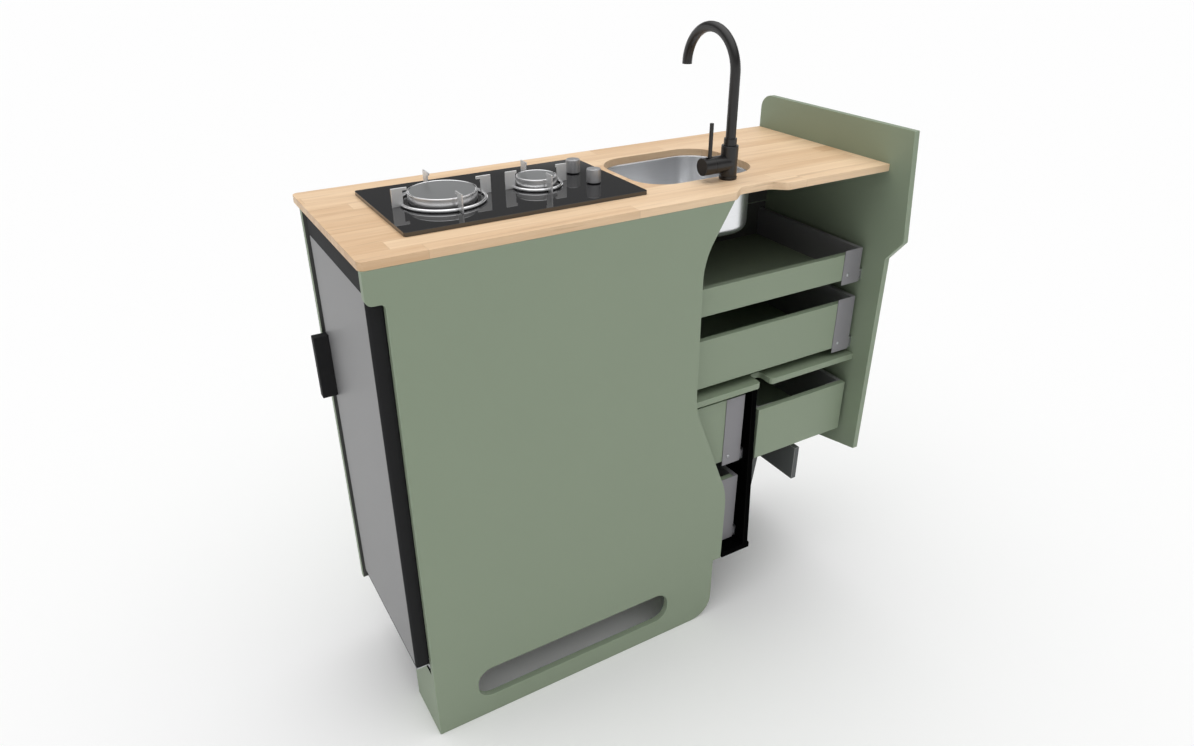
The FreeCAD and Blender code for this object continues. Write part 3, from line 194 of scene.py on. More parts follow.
class PodStage(PropertyGroup):
    """The studio around the pod."""

    floor_colour: colour("Floor", "Colour of the floor", (0.96, 0.96, 0.96))
    floor_reach: length("Floor reach", "Half the width of the floor", 60.0)
    sky: number("Sky", "Strength of the light straight above", 1.9)
    skyline: number("Skyline", "Lowest band of the sky, as a share of that light", 0.34)
    low_sky: number("Low sky", "Sky above that band, as a share of that light", 0.07)
    camera_place: FloatVectorProperty(
        name="Camera place", description="Where the camera stands", size=3, subtype="TRANSLATION",
        unit="LENGTH", default=(0.9225, 1.505, 1.458))
    camera_aim: FloatVectorProperty(
        name="Camera aim", description="Direction of the camera's view", size=3,
        subtype="DIRECTION", default=(-0.4465, -0.7576, -0.4761))
    camera_lens: FloatProperty(
        name="Lens", description="Focal length on a 36 mm frame", unit="CAMERA", min=1,
        default=25.65)


def wire(tree, kind, inputs, **settings):
    """Adds a node and fills its inputs with values or sockets. Returns its outputs."""
    node = tree.nodes.new(kind)
    for name, value in settings.items():
        setattr(node, name, value)
    for key, value in inputs.items():
        if isinstance(value, bpy.types.NodeSocket):
            tree.links.new(value, node.inputs[key])
        else:
            node.inputs[key].default_value = value
    return node.outputs


def maths(tree, operation, first, second=0.0, kind="Math"):
    return wire(tree, f"ShaderNode{kind}", {0: first, 1: second}, operation=operation)[0]


def mixed(tree, share, first, second, blend="MIX"):
    """Two colours mixed. They are inputs 6 and 7 and output 2 of the node."""
    inputs = {0: share, 6: first, 7: second}
    return wire(tree, "ShaderNodeMix", inputs, data_type="RGBA", blend_type=blend)[2]


def toned(tree, base, tone):
    """A colour times a tone."""
    grey = wire(tree, "ShaderNodeCombineColor", {0: tone, 1: tone, 2: tone})[0]
    return mixed(tree, 1.0, base, grey, "MULTIPLY")


def stretched(tree, place, stretch, detail, distortion=0.0):
    """Noise drawn out along one direction."""
    return wire(tree, "ShaderNodeTexNoise", {
        "Vector": maths(tree, "MULTIPLY", place, stretch, "VectorMath"), "Scale": 1.0,
        "Detail": detail, "Distortion": distortion})[0]


def rising(tree, value, low, high):
    """A value from 0 to 1 between two limits."""
    return wire(tree, "ShaderNodeMapRange", {"Value": value, "From Min": low, "From Max": high})[0]


def add_socket(tree, side, label, kind):
    return tree.interface.new_socket(label, in_out=side, socket_type=f"NodeSocket{kind}")


def built_once(make):
    """Builds a tree once, named after its function, and then finds it."""
    def found():
        return bpy.data.node_groups.get(make.__name__) or make(make.__name__)

    return found


def shader_group(name, inputs):
    """A new shader group. Returns its tree, its inputs and the sockets that it puts out."""
    tree = bpy.data.node_groups.new(name, "ShaderNodeTree")
    for label, value in inputs.items():
        kind = "Float" if isinstance(value, float) else "Color" if len(value) == 4 else "Vector"
        add_socket(tree, "INPUT", label, kind).default_value = value
    for label, kind in (("Colour", "Color"), ("Roughness", "Float"), ("Height", "Float")):
        add_socket(tree, "OUTPUT", label, kind)
    return tree, tree.nodes.new("NodeGroupInput").outputs, tree.nodes.new("NodeGroupOutput").inputs


def put_out(tree, end, **values):
    for label, value in values.items():
        tree.links.new(value, end[label])


def uneven(tree, given, end, noise, height):
    """Puts out a colour and a roughness that follow a noise, and a height."""
    swing = maths(tree, "SUBTRACT", noise, 0.5)
    tone = maths(tree, "ADD", maths(tree, "MULTIPLY", swing, given["Tone"]), 1.0)
    rough = maths(tree, "MULTIPLY", swing, given["Roughness Change"])
    put_out(tree, end, Colour=toned(tree, given["Colour"], tone),
            Roughness=maths(tree, "ADD", rough, given["Roughness"]), Height=height)


@built_once
def coat_unevenness(name):
    """Unevenness of a coat or a moulding: a broad change of tone and a fine texture."""
    tree, given, end = shader_group(name, {
        "Colour": (0.5, 0.5, 0.5, 1.0), "Broad Scale": 4.0, "Tone": 0.05, "Fine Scale": 700.0,
        "Roughness": 0.5, "Roughness Change": 0.06})
    where = tree.nodes.new("ShaderNodeTexCoord").outputs["Object"]
    broad, fine = (wire(tree, "ShaderNodeTexNoise", {
        "Vector": where, "Scale": given[scale], "Detail": detail})[0]
        for scale, detail in (("Broad Scale", 3.0), ("Fine Scale", 2.0)))
    uneven(tree, given, end, broad, fine)
    return tree


@built_once
def brushed_lines(name):
    """Fine parallel lines left by brushing metal. The stretch is small along the lines."""
    tree, given, end = shader_group(name, {
        "Colour": (0.6, 0.6, 0.6, 1.0), "Stretch": (20.0, 900.0, 900.0), "Tone": 0.12,
        "Roughness": 0.3, "Roughness Change": 0.12})
    where = tree.nodes.new("ShaderNodeTexCoord").outputs["Object"]
    lines = stretched(tree, where, given["Stretch"], 3.0)
    uneven(tree, given, end, lines, lines)
    return tree


@built_once
def oak_staves(name):
    """Glued oak strips, each with its own tone, grain and streaks, darker edges and a painted shade
    underneath.
    """
    tree, given, end = shader_group(name, {
        "Pale": (0.8, 0.6, 0.4, 1.0), "Warm": (0.6, 0.4, 0.2, 1.0), "Streak": (0.3, 0.2, 0.1, 1.0),
        "Stave Width": 0.04, "Stave Length": 0.4})
    calc = partial(maths, tree)

    def by_chance(*place):
        spot = wire(tree, "ShaderNodeCombineXYZ", dict(enumerate(place)))[0]
        return wire(tree, "ShaderNodeTexWhiteNoise", {"Vector": spot}, noise_dimensions="3D")

    def from_middle(place):
        return calc("ABSOLUTE", calc("SUBTRACT", calc("FRACT", place), 0.5))

    seen = tree.nodes.new("ShaderNodeTexCoord").outputs
    where = seen["Object"]
    axes = wire(tree, "ShaderNodeSeparateXYZ", {0: where})
    across = calc("DIVIDE", calc("ADD", axes["Y"], 10.0), given["Stave Width"])
    row = calc("FLOOR", across)
    shift = by_chance(row, 3.7, 1.3)["Value"]
    along = calc("DIVIDE", calc("ADD", axes["X"], 10.0), given["Stave Length"])
    along = calc("ADD", along, calc("MULTIPLY", shift, 7.0))
    own = by_chance(row, calc("FLOOR", along), 5.1)
    moved = calc("MULTIPLY", own["Color"], (9.0, 9.0, 9.0), "VectorMath")
    own_place = calc("ADD", where, moved, "VectorMath")
    figure = stretched(tree, own_place, (2.4, 42.0, 42.0), 3.0, 0.5)
    pores = stretched(tree, own_place, (18.0, 620.0, 620.0), 2.0)
    streaks = stretched(tree, own_place, (5.0, 95.0, 95.0), 3.0, 0.9)
    tone = calc("MULTIPLY", own["Value"], 0.62)
    tone = calc("ADD", tone, calc("MULTIPLY", rising(tree, figure, 0.3, 0.7), 0.42))
    tone = calc("ADD", tone, calc("MULTIPLY", calc("SUBTRACT", pores, 0.5), 0.4))
    tone = wire(tree, "ShaderNodeClamp", {0: tone})[0]
    base = mixed(tree, tone, given["Pale"], given["Warm"])
    streaked = calc("MULTIPLY", rising(tree, streaks, 0.58, 0.76), 0.3)
    base = mixed(tree, streaked, base, given["Streak"])
    glued = calc("MAXIMUM", calc("GREATER_THAN", from_middle(across), 0.489),
                 calc("GREATER_THAN", from_middle(along), 0.4989))
    faces = wire(tree, "ShaderNodeSeparateXYZ", {0: seen["Normal"]})
    light = calc("SUBTRACT", 1.0, calc("MULTIPLY", glued, 0.14))
    # End grain faces are darker and the long edges a little darker. Faces turned down are darkened
    # almost to black as a painted shade.
    for facing, dark in ((calc("ABSOLUTE", faces["X"]), 0.12), (calc("ABSOLUTE", faces["Y"]), 0.06),
                         (calc("MULTIPLY", faces["Z"], -1.0), 0.85)):
        light = calc("SUBTRACT", light, calc("MULTIPLY", rising(tree, facing, 0.5, 0.9), dark))
    put_out(tree, end, Colour=toned(tree, base, light), Height=pores,
            Roughness=calc("ADD", calc("MULTIPLY", pores, 0.25), 0.34))
    return tree


def new_finish(name, fixed):
    """A new material with fixed values. Returns it, its tree and its shader's inputs."""
    material = bpy.data.materials.new(name)
    material.use_nodes = True
    shader = material.node_tree.nodes["Principled BSDF"].inputs
    for label, value in fixed.items():
        shader[label].default_value = value
    return material, material.node_tree, shader


def surface(name, group, values, fixed, relief=0.0, depth=0.0004):
    """A material whose colour, roughness and relief come from a shader group."""
    if name in bpy.data.materials:
        return bpy.data.materials[name]
    material, tree, shader = new_finish(name, fixed)
    look = wire(tree, "ShaderNodeGroup", values, node_tree=group())
    tree.links.new(look["Colour"], shader["Base Color"])
    tree.links.new(look["Roughness"], shader["Roughness"])
    if relief:
        bump = wire(tree, "ShaderNodeBump", {
            "Height": look["Height"], "Strength": relief, "Distance": depth})
        tree.links.new(bump[0], shader["Normal"])
    if "Colour" in values:
        material.diffuse_color = values["Colour"]
    return material


def coat(name, tint, roughness, tone=0.05, broad=4, fine=700, texture=0.12, specular=0.5, clear=0,
         index=1.5):
    """A painted, moulded or cast finish."""
    return surface(name, coat_unevenness, {
        "Colour": (*tint, 1.0), "Broad Scale": broad, "Tone": tone, "Fine Scale": fine,
        "Roughness": roughness,
    }, {"Specular IOR Level": specular, "IOR": index, "Coat Weight": clear, "Coat Roughness": 0.12},
        texture)


def metal(name, tint, roughness, stretch, tone=0.12, change=0.12, texture=0.04):
    """A brushed, drawn or polished metal."""
    return surface(name, brushed_lines, {
        "Colour": (*tint, 1.0), "Stretch": stretch, "Tone": tone, "Roughness": roughness,
        "Roughness Change": change}, {"Metallic": 1.0}, texture, 0.0002)


def chosen(context):
    """Every finish of the pod, made from the chosen colours, and the chosen sizes."""
    c = context.scene.pod_colours
    sizes = context.scene.pod_sizes
    look = SimpleNamespace(
        sage=coat("sage_paint", c.sage, 0.52, tone=0.04, texture=0.1, specular=0.35),
        # Lighter eased edges: partly worn paint, partly a painted highlight.
        sage_edge=coat("sage_paint_edge", c.sage_edge, 0.46, tone=0.14, broad=60, specular=0.35),
        black=coat(
            "black_film", c.black_film, 0.8, tone=0.2, fine=1400, texture=0.2, specular=0.01),
        black_edge=coat("black_film_edge", c.black_film, 0.7, tone=0.2, broad=50, specular=0.06),
        leg=coat("leg_film", c.leg_grey, 0.6, tone=0.15, fine=1400, texture=0.15, specular=0.2),
        leg_edge=coat("leg_film_edge", c.leg_edge, 0.6, tone=0.2, broad=60, specular=0.2),
        # Painted shade for the inner faces of the front boards.
        inside=coat(
            "inside_film", c.inside_dark, 0.7, tone=0.2, fine=1200, texture=0.15, specular=0.15),
        oak=surface("oiled_oak", oak_staves, {
            "Pale": (*c.oak_pale, 1.0), "Warm": (*c.oak_warm, 1.0), "Streak": (*c.oak_streak, 1.0),
            "Stave Width": sizes.stave_width, "Stave Length": sizes.stave_length,
        }, {"Specular IOR Level": 0.35}, 0.1),
        drawer=coat("drawer_powder_coat", c.drawer_grey, 0.42, fine=1500, texture=0.14),
        zinc=metal("zinc_plate", c.zinc, 0.36, (260, 260, 260), tone=0.2),
        glass=coat("hob_black_glass", c.glass_black, 0.03, tone=0.02, texture=0, index=1.9),
        glass_edge=coat("hob_glass_edge", c.glass_rim, 0.12, tone=0.1, texture=0),
        enamel=coat("tray_enamel", c.enamel_black, 0.22, fine=300, texture=0.05),
        alloy=metal("burner_alloy", c.alloy, 0.42, (500, 500, 500)),
        cap=metal("cap_satin_steel", c.cap_grey, 0.34, (700, 700, 30), tone=0.1),
        cap_side=metal("cap_turned_steel", c.satin, 0.3, (3, 3, 900), 0.08, 0.05, 0.01),
        polished=metal("polished_steel", c.polished, 0.13, (60, 60, 900), 0.05, 0.05, 0.01),
        satin=metal("satin_steel", c.satin, 0.46, (90, 90, 900), texture=0.03),
        knob=metal("knob_steel", c.knob_steel, 0.52, (40, 40, 1200), tone=0.1),
        mark=coat("knob_mark", c.knob_mark, 0.5),
        gap=coat("dark_gap", c.knob_gap, 0.8),
        sink=metal("sink_brushed_steel", c.sink_steel, 0.3, (18, 900, 900), tone=0.1, texture=0.03),
        brass=metal("gas_brass", c.brass, 0.3, (300, 60, 300)),
        waste=coat("waste_moulding", c.waste_black, 0.45, fine=900),
        tap=coat("tap_matt_black", c.tap_black, 0.32, tone=0.15, fine=2200, texture=0.08),
        shell=coat("fridge_powder_coat", c.shell_grey, 0.5, fine=1200, texture=0.15),
        shelf=surface("shelf_glass", coat_unevenness, {
            "Colour": (*c.shelf_glass, 1.0), "Tone": 0.03, "Roughness": 0.06,
            "Roughness Change": 0.03,
        }, {"Transmission Weight": 0.9, "IOR": 1.5}),
        compressor=coat(
            "compressor_lacquer", c.compressor_black, 0.25, tone=0.2, broad=20, texture=0.05),
        door_black=coat("door_moulding", c.door_black, 0.6, fine=1600, specular=0.06),
        door_grey=coat("door_sheet", c.door_grey, 0.44, broad=2, fine=1800, texture=0.06),
        rubber=coat("gasket_rubber", c.rubber, 0.75, fine=1100),
        liner=coat(
            "liner_moulding", c.liner_white, 0.28, tone=0.03, fine=400, texture=0.03, clear=0.2),
        rack=coat("rack_moulding", c.rack_pale, 0.2, tone=0.03, fine=400, texture=0.03, clear=0.3),
    )
    return look, sizes


def add_object(name, mesh):
    piece = bpy.data.objects.new(name, mesh)
    bpy.context.scene.collection.objects.link(piece)
    return piece


def body_of(node):
    return frame["nodes"][node]["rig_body"]


def sized(node):
    """The low and the high corner of a solid, its middle and half its width."""
    low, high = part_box(node)
    return low, high, (low + high) / 2, (high.x - low.x) / 2


def applied(piece, kind, inputs=(), **settings):
    """Applies a modifier to a piece and removes it. Returns the plain mesh."""
    rough = piece.data
    name = rough.name
    step = piece.modifiers.new(kind.lower(), kind)
    for label, value in settings.items():
        setattr(step, label, value)
    for socket, value in inputs:
        step[socket] = value
    bpy.context.view_layer.update()
    seen = piece.evaluated_get(bpy.context.evaluated_depsgraph_get())
    piece.data = bpy.data.meshes.new_from_object(seen)
    piece.modifiers.remove(step)
    bpy.data.meshes.remove(rough)
    piece.data.name = name
    return piece.data


def shade(piece, angle=CRISP_ANGLE):
    """Smooth shading led by large flat faces. Edges sharper than the angle stay crisp."""
    mesh = piece.data
    mesh.polygons.foreach_set("use_smooth", [True] * len(mesh.polygons))
    mesh.set_sharp_from_angle(angle=angle)
    mesh.update()
    applied(piece, "WEIGHTED_NORMAL", keep_sharp=True)


def settle(piece, body, slot, *nodes):
    """Puts a finished piece on its body and in the place of solids. The slot is not used."""
    if not piece.data.polygons:
        raise RuntimeError(f"{piece.name} has no faces")
    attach(piece, body)
    if nodes:
        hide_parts(*nodes)


def soften(node, width, face, edge=None, segments=2, rear=None):
    """A copy of a solid with eased edges, in its place. Its rear can have its own material, which
    the front boards use for a painted shade.
    """
    mesh = frame["nodes"][node].data.copy()
    mesh.name = f"{node}_dressed"
    mesh.materials.clear()
    for finish in (face, edge or face, rear or face):
        mesh.materials.append(finish)
    if "custom_normal" in mesh.attributes:
        mesh.attributes.remove(mesh.attributes["custom_normal"])
    shell = bmesh.new()
    shell.from_mesh(mesh)
    bmesh.ops.remove_doubles(shell, verts=shell.verts, dist=SOLID_WELD)
    bmesh.ops.dissolve_limit(shell, angle_limit=FLAT_ANGLE, verts=shell.verts, edges=shell.edges)
    shell.normal_update()
    for polygon in shell.faces:
        # Rear-facing faces take the third material. On the front boards that is a painted shade.
        polygon.material_index = 2 if polygon.normal.y > REAR_FACING else 0
    shell.to_mesh(mesh)
    shell.free()
    piece = add_object(f"{node}_dressed", mesh)
    applied(piece, "BEVEL", width=width, segments=segments, limit_method="ANGLE",
            angle_limit=EASED_ANGLE, material=1)
    shade(piece)
    settle(piece, body_of(node), SLOT_OF[node], node)


def meshed(shell, materials):
    """The plain mesh of a shell, which is used up."""
    mesh = bpy.data.meshes.new("mesh")
    shell.to_mesh(mesh)
    shell.free()
    for finish in materials:
        mesh.materials.append(finish)
    return mesh


def turned(profile, materials, centre=(0, 0, 0), turn=UPRIGHT, segments=64):
    """A turned mesh. Its profile lists radius, height and, if not 0, the next band's finish."""
    shell = bmesh.new()
    angles = [2 * math.pi * index / segments for index in range(segments)]
    rings = [[shell.verts.new((radius * math.cos(angle), radius * math.sin(angle), rise))
              for angle in (angles if radius else angles[:1])] for radius, rise, *_ in profile]
    for (_, _, *band), low, high in zip(profile, rings, rings[1:]):
        for index in range(segments):
            onward = (index + 1) % segments
            corners = dict.fromkeys((low[index % len(low)], low[onward % len(low)],
                                     high[onward % len(high)], high[index % len(high)]))
            if len(corners) > 2:
                shell.faces.new(list(corners)).material_index = band[0] if band else 0
    bmesh.ops.remove_doubles(shell, verts=shell.verts, dist=TURNED_WELD)
    bmesh.ops.recalc_face_normals(shell, faces=shell.faces)
    mesh = meshed(shell, materials)
    mesh.transform(Matrix.Translation(centre) @ Euler(turn).to_matrix().to_4x4())
    return mesh


def eased_mesh(shell, edge, segments, finish):
    """The plain mesh of a shell with all its edges eased."""
    bmesh.ops.bevel(
        shell, geom=list(shell.edges), offset=edge, segments=segments, affect="EDGES", profile=0.5)
    return meshed(shell, [finish])


def block(low, high, edge, finish, segments=2):
    """A square block with eased edges."""
    low, high = Vector(low), Vector(high)
    shell = bmesh.new()
    bmesh.ops.create_cube(shell, size=1)
    bmesh.ops.scale(shell, verts=shell.verts, vec=high - low)
    bmesh.ops.translate(shell, verts=shell.verts, vec=(low + high) / 2)
    return eased_mesh(shell, edge, segments, finish)


def plate(outline, half, edge, finish):
    """An upright plate with eased edges, from its outline along and up."""
    shell = bmesh.new()
    near = [shell.verts.new((x, -half, z)) for x, z in outline]
    far = [shell.verts.new((x, half, z)) for x, z in outline]
    shell.faces.new(near)
    shell.faces.new(far[::-1])
    for index in range(len(outline)):
        after = (index + 1) % len(outline)
        shell.faces.new((near[index], far[index], far[after], near[after]))
    bmesh.ops.recalc_face_normals(shell, faces=shell.faces)
    return eased_mesh(shell, edge, 1, finish)


def joined(name, meshes, angle=CRISP_ANGLE):
    """One piece from several meshes, each with its own finishes."""
    used = []
    shell = bmesh.new()
    for mesh in meshes:
        start = len(shell.faces)
        shell.from_mesh(mesh)
        shell.faces.ensure_lookup_table()
        used.extend(finish for finish in mesh.materials if finish not in used)
        places = [used.index(finish) for finish in mesh.materials]
        for polygon in shell.faces[start:]:
            polygon.material_index = places[min(polygon.material_index, len(places) - 1)]
        bpy.data.meshes.remove(mesh)
    whole = meshed(shell, used)
    whole.name = name
    piece = add_object(name, whole)
    shade(piece, angle)
    return piece


def stand_in(node, meshes):
    """One piece from several meshes, in the place of a solid."""
    settle(joined(f"{node}_dressed", meshes), body_of(node), SLOT_OF[node], node)


def grow(tree, kind, inputs, **settings):
    return wire(tree, f"GeometryNode{kind}", inputs, **settings)[0]


def geometry_tree(name, **inputs):
    """A new tree with named inputs. Returns it, its inputs and a function that closes it."""
    tree = bpy.data.node_groups.new(name, "GeometryNodeTree")
    for kind, labels in {"Geometry": ["Geometry"], **inputs, "Material": ["Finish"]}.items():
        for label in labels:
            add_socket(tree, "INPUT", label, kind)
    add_socket(tree, "OUTPUT", "Geometry", "Geometry")
    given = tree.nodes.new("NodeGroupInput").outputs
    end = tree.nodes.new("NodeGroupOutput").inputs

    def close(shape):
        real = grow(tree, "RealizeInstances", {"Geometry": shape})
        faced = grow(tree, "SetMaterial", {"Geometry": real, "Material": given["Finish"]})
        tree.links.new(faced, end["Geometry"])
        return tree

    return tree, given, close


def planted(tree, shape, points, turn):
    """Copies of an object on points, turned by angles about the axes."""
    return grow(tree, "InstanceOnPoints", {
        "Points": points,
        "Instance": wire(tree, "GeometryNodeObjectInfo", {"Object": shape})["Geometry"],
        "Rotation": wire(tree, "FunctionNodeEulerToRotation", {0: turn})[0]})


@built_once
def shapes_round_a_circle(name):
    """Copies of one shape round a circle, each facing outwards."""
    tree, given, close = geometry_tree(name, Object=["Shape"], Int=["Count"], Float=["Radius"])
    circle = grow(tree, "MeshCircle", {"Vertices": given["Count"], "Radius": given["Radius"]})
    index = tree.nodes.new("GeometryNodeInputIndex").outputs[0]
    angle = maths(tree, "MULTIPLY", index, maths(tree, "DIVIDE", 2 * math.pi, given["Count"]))
    turn = wire(tree, "ShaderNodeCombineXYZ", {2: angle})[0]
    return close(planted(tree, given["Shape"], circle, turn))


@built_once
def shapes_on_spots(name):
    """Copies of one shape on the points of a mesh, all turned the same way."""
    tree, given, close = geometry_tree(name, Object=["Shape"], Vector=["Turn"])
    points = grow(tree, "MeshToPoints", {"Mesh": given["Geometry"]})
    return close(planted(tree, given["Shape"], points, given["Turn"]))


@built_once
def pierced_plate(name):
    """A round plate pierced by rings of round holes."""
    tree, given, close = geometry_tree(name, Float=[
        "Plate Radius", "Thickness", "Hole Radius", "Inner Ring", "Middle Ring", "Outer Ring"])
    disc = grow(tree, "MeshCylinder", {
        "Vertices": 48, "Radius": given["Plate Radius"], "Depth": given["Thickness"]})
    drill = grow(tree, "MeshCylinder", {
        "Vertices": 10, "Radius": given["Hole Radius"],
        "Depth": maths(tree, "MULTIPLY", given["Thickness"], 3.0)})
    rings = tree.nodes.new("GeometryNodeJoinGeometry")
    for label, holes in (("Inner Ring", 6), ("Middle Ring", 12), ("Outer Ring", 18)):
        circle = grow(tree, "MeshCircle", {"Vertices": holes, "Radius": given[label]})
        tree.links.new(circle, rings.inputs[0])
    drills = grow(tree, "InstanceOnPoints", {"Points": rings.outputs[0], "Instance": drill})
    cutters = grow(tree, "RealizeInstances", {"Geometry": drills})
    return close(grow(
        tree, "MeshBoolean", {"Mesh 1": disc, "Mesh 2": cutters}, operation="DIFFERENCE"))


@built_once
def bead_round_an_opening(name):
    """A round bead along a rectangle with rounded corners."""
    tree, given, close = geometry_tree(name, Float=["Length", "Depth", "Corner", "Bead Radius"])
    outline = grow(tree, "CurvePrimitiveQuadrilateral", {
        "Width": given["Length"], "Height": given["Depth"]})
    path = grow(tree, "FilletCurve", {
        "Curve": outline, "Radius": given["Corner"], "Count": 16}, mode="POLY")
    section = grow(tree, "CurvePrimitiveCircle", {"Resolution": 12, "Radius": given["Bead Radius"]})
    return close(grow(tree, "CurveToMesh", {"Curve": path, "Profile Curve": section}))


def grown(name, tree, values, start=None, centre=(0, 0, 0)):
    """The plain mesh that a geometry tree makes from values, moved to a centre."""
    holder = add_object(name, start or bpy.data.meshes.new(name))
    sockets = {item.name: item.identifier for item in tree.interface.items_tree
               if item.in_out == "INPUT"}
    inputs = [(sockets[label], value) for label, value in values.items()]
    mesh = applied(holder, "NODES", inputs, node_group=tree)
    bpy.data.objects.remove(holder)
    if not mesh.polygons:
        raise RuntimeError(f"{name} came out empty")
    mesh.transform(Matrix.Translation(centre))
    return mesh


def repeated(name, shape, tree, values, **place):
    """A mesh with copies of one shape, which is used up."""
    master = add_object(f"{name}_shape", shape)
    mesh = grown(name, tree, {"Shape": master, "Finish": shape.materials[0], **values}, **place)
    bpy.data.objects.remove(master)
    bpy.data.meshes.remove(shape)
    return mesh


def on_spots(name, shape, spots, turn=UPRIGHT):
    """A mesh with one shape on each spot."""
    points = bpy.data.meshes.new(f"{name}_spots")
    points.from_pydata(spots, [], [])
    return repeated(name, shape, shapes_on_spots(), {"Turn": turn}, start=points)


def round_circle(name, shape, copies, radius, centre):
    """A mesh with one shape repeated round a circle."""
    return repeated(
        name, shape, shapes_round_a_circle(), {"Count": copies, "Radius": radius}, centre=centre)


def screw_head(radius, finish):
    """A domed screw head with a socket."""
    socket = radius * 0.5
    return turned([
        (0, radius * 0.1), (socket, radius * 0.1), (socket, socket), (radius * 0.75, radius * 0.45),
        (radius, radius * 0.12), (radius, 0)], [finish], segments=12)


class POD_OT_boards(Operator):
    """Paint the carcass boards and ease their edges"""

    bl_idname = "pod.boards"
    bl_label = "Carcass boards"

    def execute(self, context):
        look, sizes = chosen(context)
        width = sizes.board_edge
        for node in ("back_panel", "skirt_returns", "end_panel", "fridge_divider", "drawer_shelf"):
            soften(node, width, look.sage, look.sage_edge)
        # The front panel's inner face takes a painted shade.
        soften("front_panel", width, look.sage, look.sage_edge, rear=look.inside)
        soften("arch_leg", width, look.leg, look.leg_edge)
        for node in ("drawer_divider", "base_panel"):
            soften(node, width, look.black, look.black_edge)
        return {"FINISHED"}


class POD_OT_worktop(Operator):
    """Finish the worktop in oiled oak staves"""

    bl_idname = "pod.worktop"
    bl_label = "Worktop"

    def execute(self, context):
        look, sizes = chosen(context)
        soften("worktop", sizes.board_edge, look.oak)
        return {"FINISHED"}


class POD_OT_drawers(Operator):
    """Dress the five drawers, their bracket screws and their rails"""

    bl_idname = "pod.drawers"
    bl_label = "Drawers and rails"

    def execute(self, context):
        look, sizes = chosen(context)
        for drawer in DRAWERS:
            for board in ("back", "base"):
                soften(f"{drawer}_{board}", sizes.board_edge, look.sage, look.sage_edge)
            # Each drawer front's inner face takes a painted shade.
            soften(f"{drawer}_front", sizes.board_edge, look.sage, look.sage_edge, rear=look.inside)
            soften(f"{drawer}_sides", sizes.sheet_edge, look.drawer)
            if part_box(f"{drawer}_sides")[1].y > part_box(f"{drawer}_back")[1].y:
                self.add_screws(drawer, sizes, look)
        soften("runner_rails", sizes.sheet_edge, look.zinc)
        return {"FINISHED"}

    def add_screws(self, drawer, sizes, look):
        """A screw through each rear bracket into the drawer's back."""
        low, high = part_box(f"{drawer}_back")
        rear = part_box(f"{drawer}_sides")[1].y
        level = low.z + sizes.screw_rise
        spots = [(x, rear, level) for x in (low.x + sizes.screw_inset, high.x - sizes.screw_inset)]
        name = f"{drawer}_screws"
        screws = on_spots(name, screw_head(sizes.screw_radius, look.zinc), spots, REARWARDS)
        settle(joined(name, [screws]), drawer, "rail_steel")


class POD_OT_hob_plate(Operator):
    """Finish the hob's glass, tray and gas inlet"""

    bl_idname = "pod.hob_plate"
    bl_label = "Hob plate"

    def execute(self, context):
        look, sizes = chosen(context)
        soften("hob_glass", sizes.glass_edge, look.glass, look.glass_edge, segments=3)
        soften("hob_tray", sizes.sheet_edge, look.enamel)
        low, high, spot, nut = sized("gas_inlet")
        pipe = nut / 2
        bore = pipe * 0.75
        flank = nut * 0.92
        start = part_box("hob_tray")[1].y
        inside = low.y - start
        reach = high.y - start
        foot = (spot.x, start, spot.z)
        stem = turned([
            (0, inside), (pipe, inside), (pipe, reach - 0.0005), (pipe * 0.9, reach), (bore, reach),
            (bore, reach - 0.01), (0, reach - 0.01)], [look.brass], foot, REARWARDS, 32)
        hexagon = turned([
            (pipe, 0), (flank, 0), (nut, 0.001), (nut, 0.009), (flank, 0.01), (pipe, 0.01)],
            [look.brass], foot, REARWARDS, 6)
        stand_in("gas_inlet", [stem, hexagon])
        return {"FINISHED"}


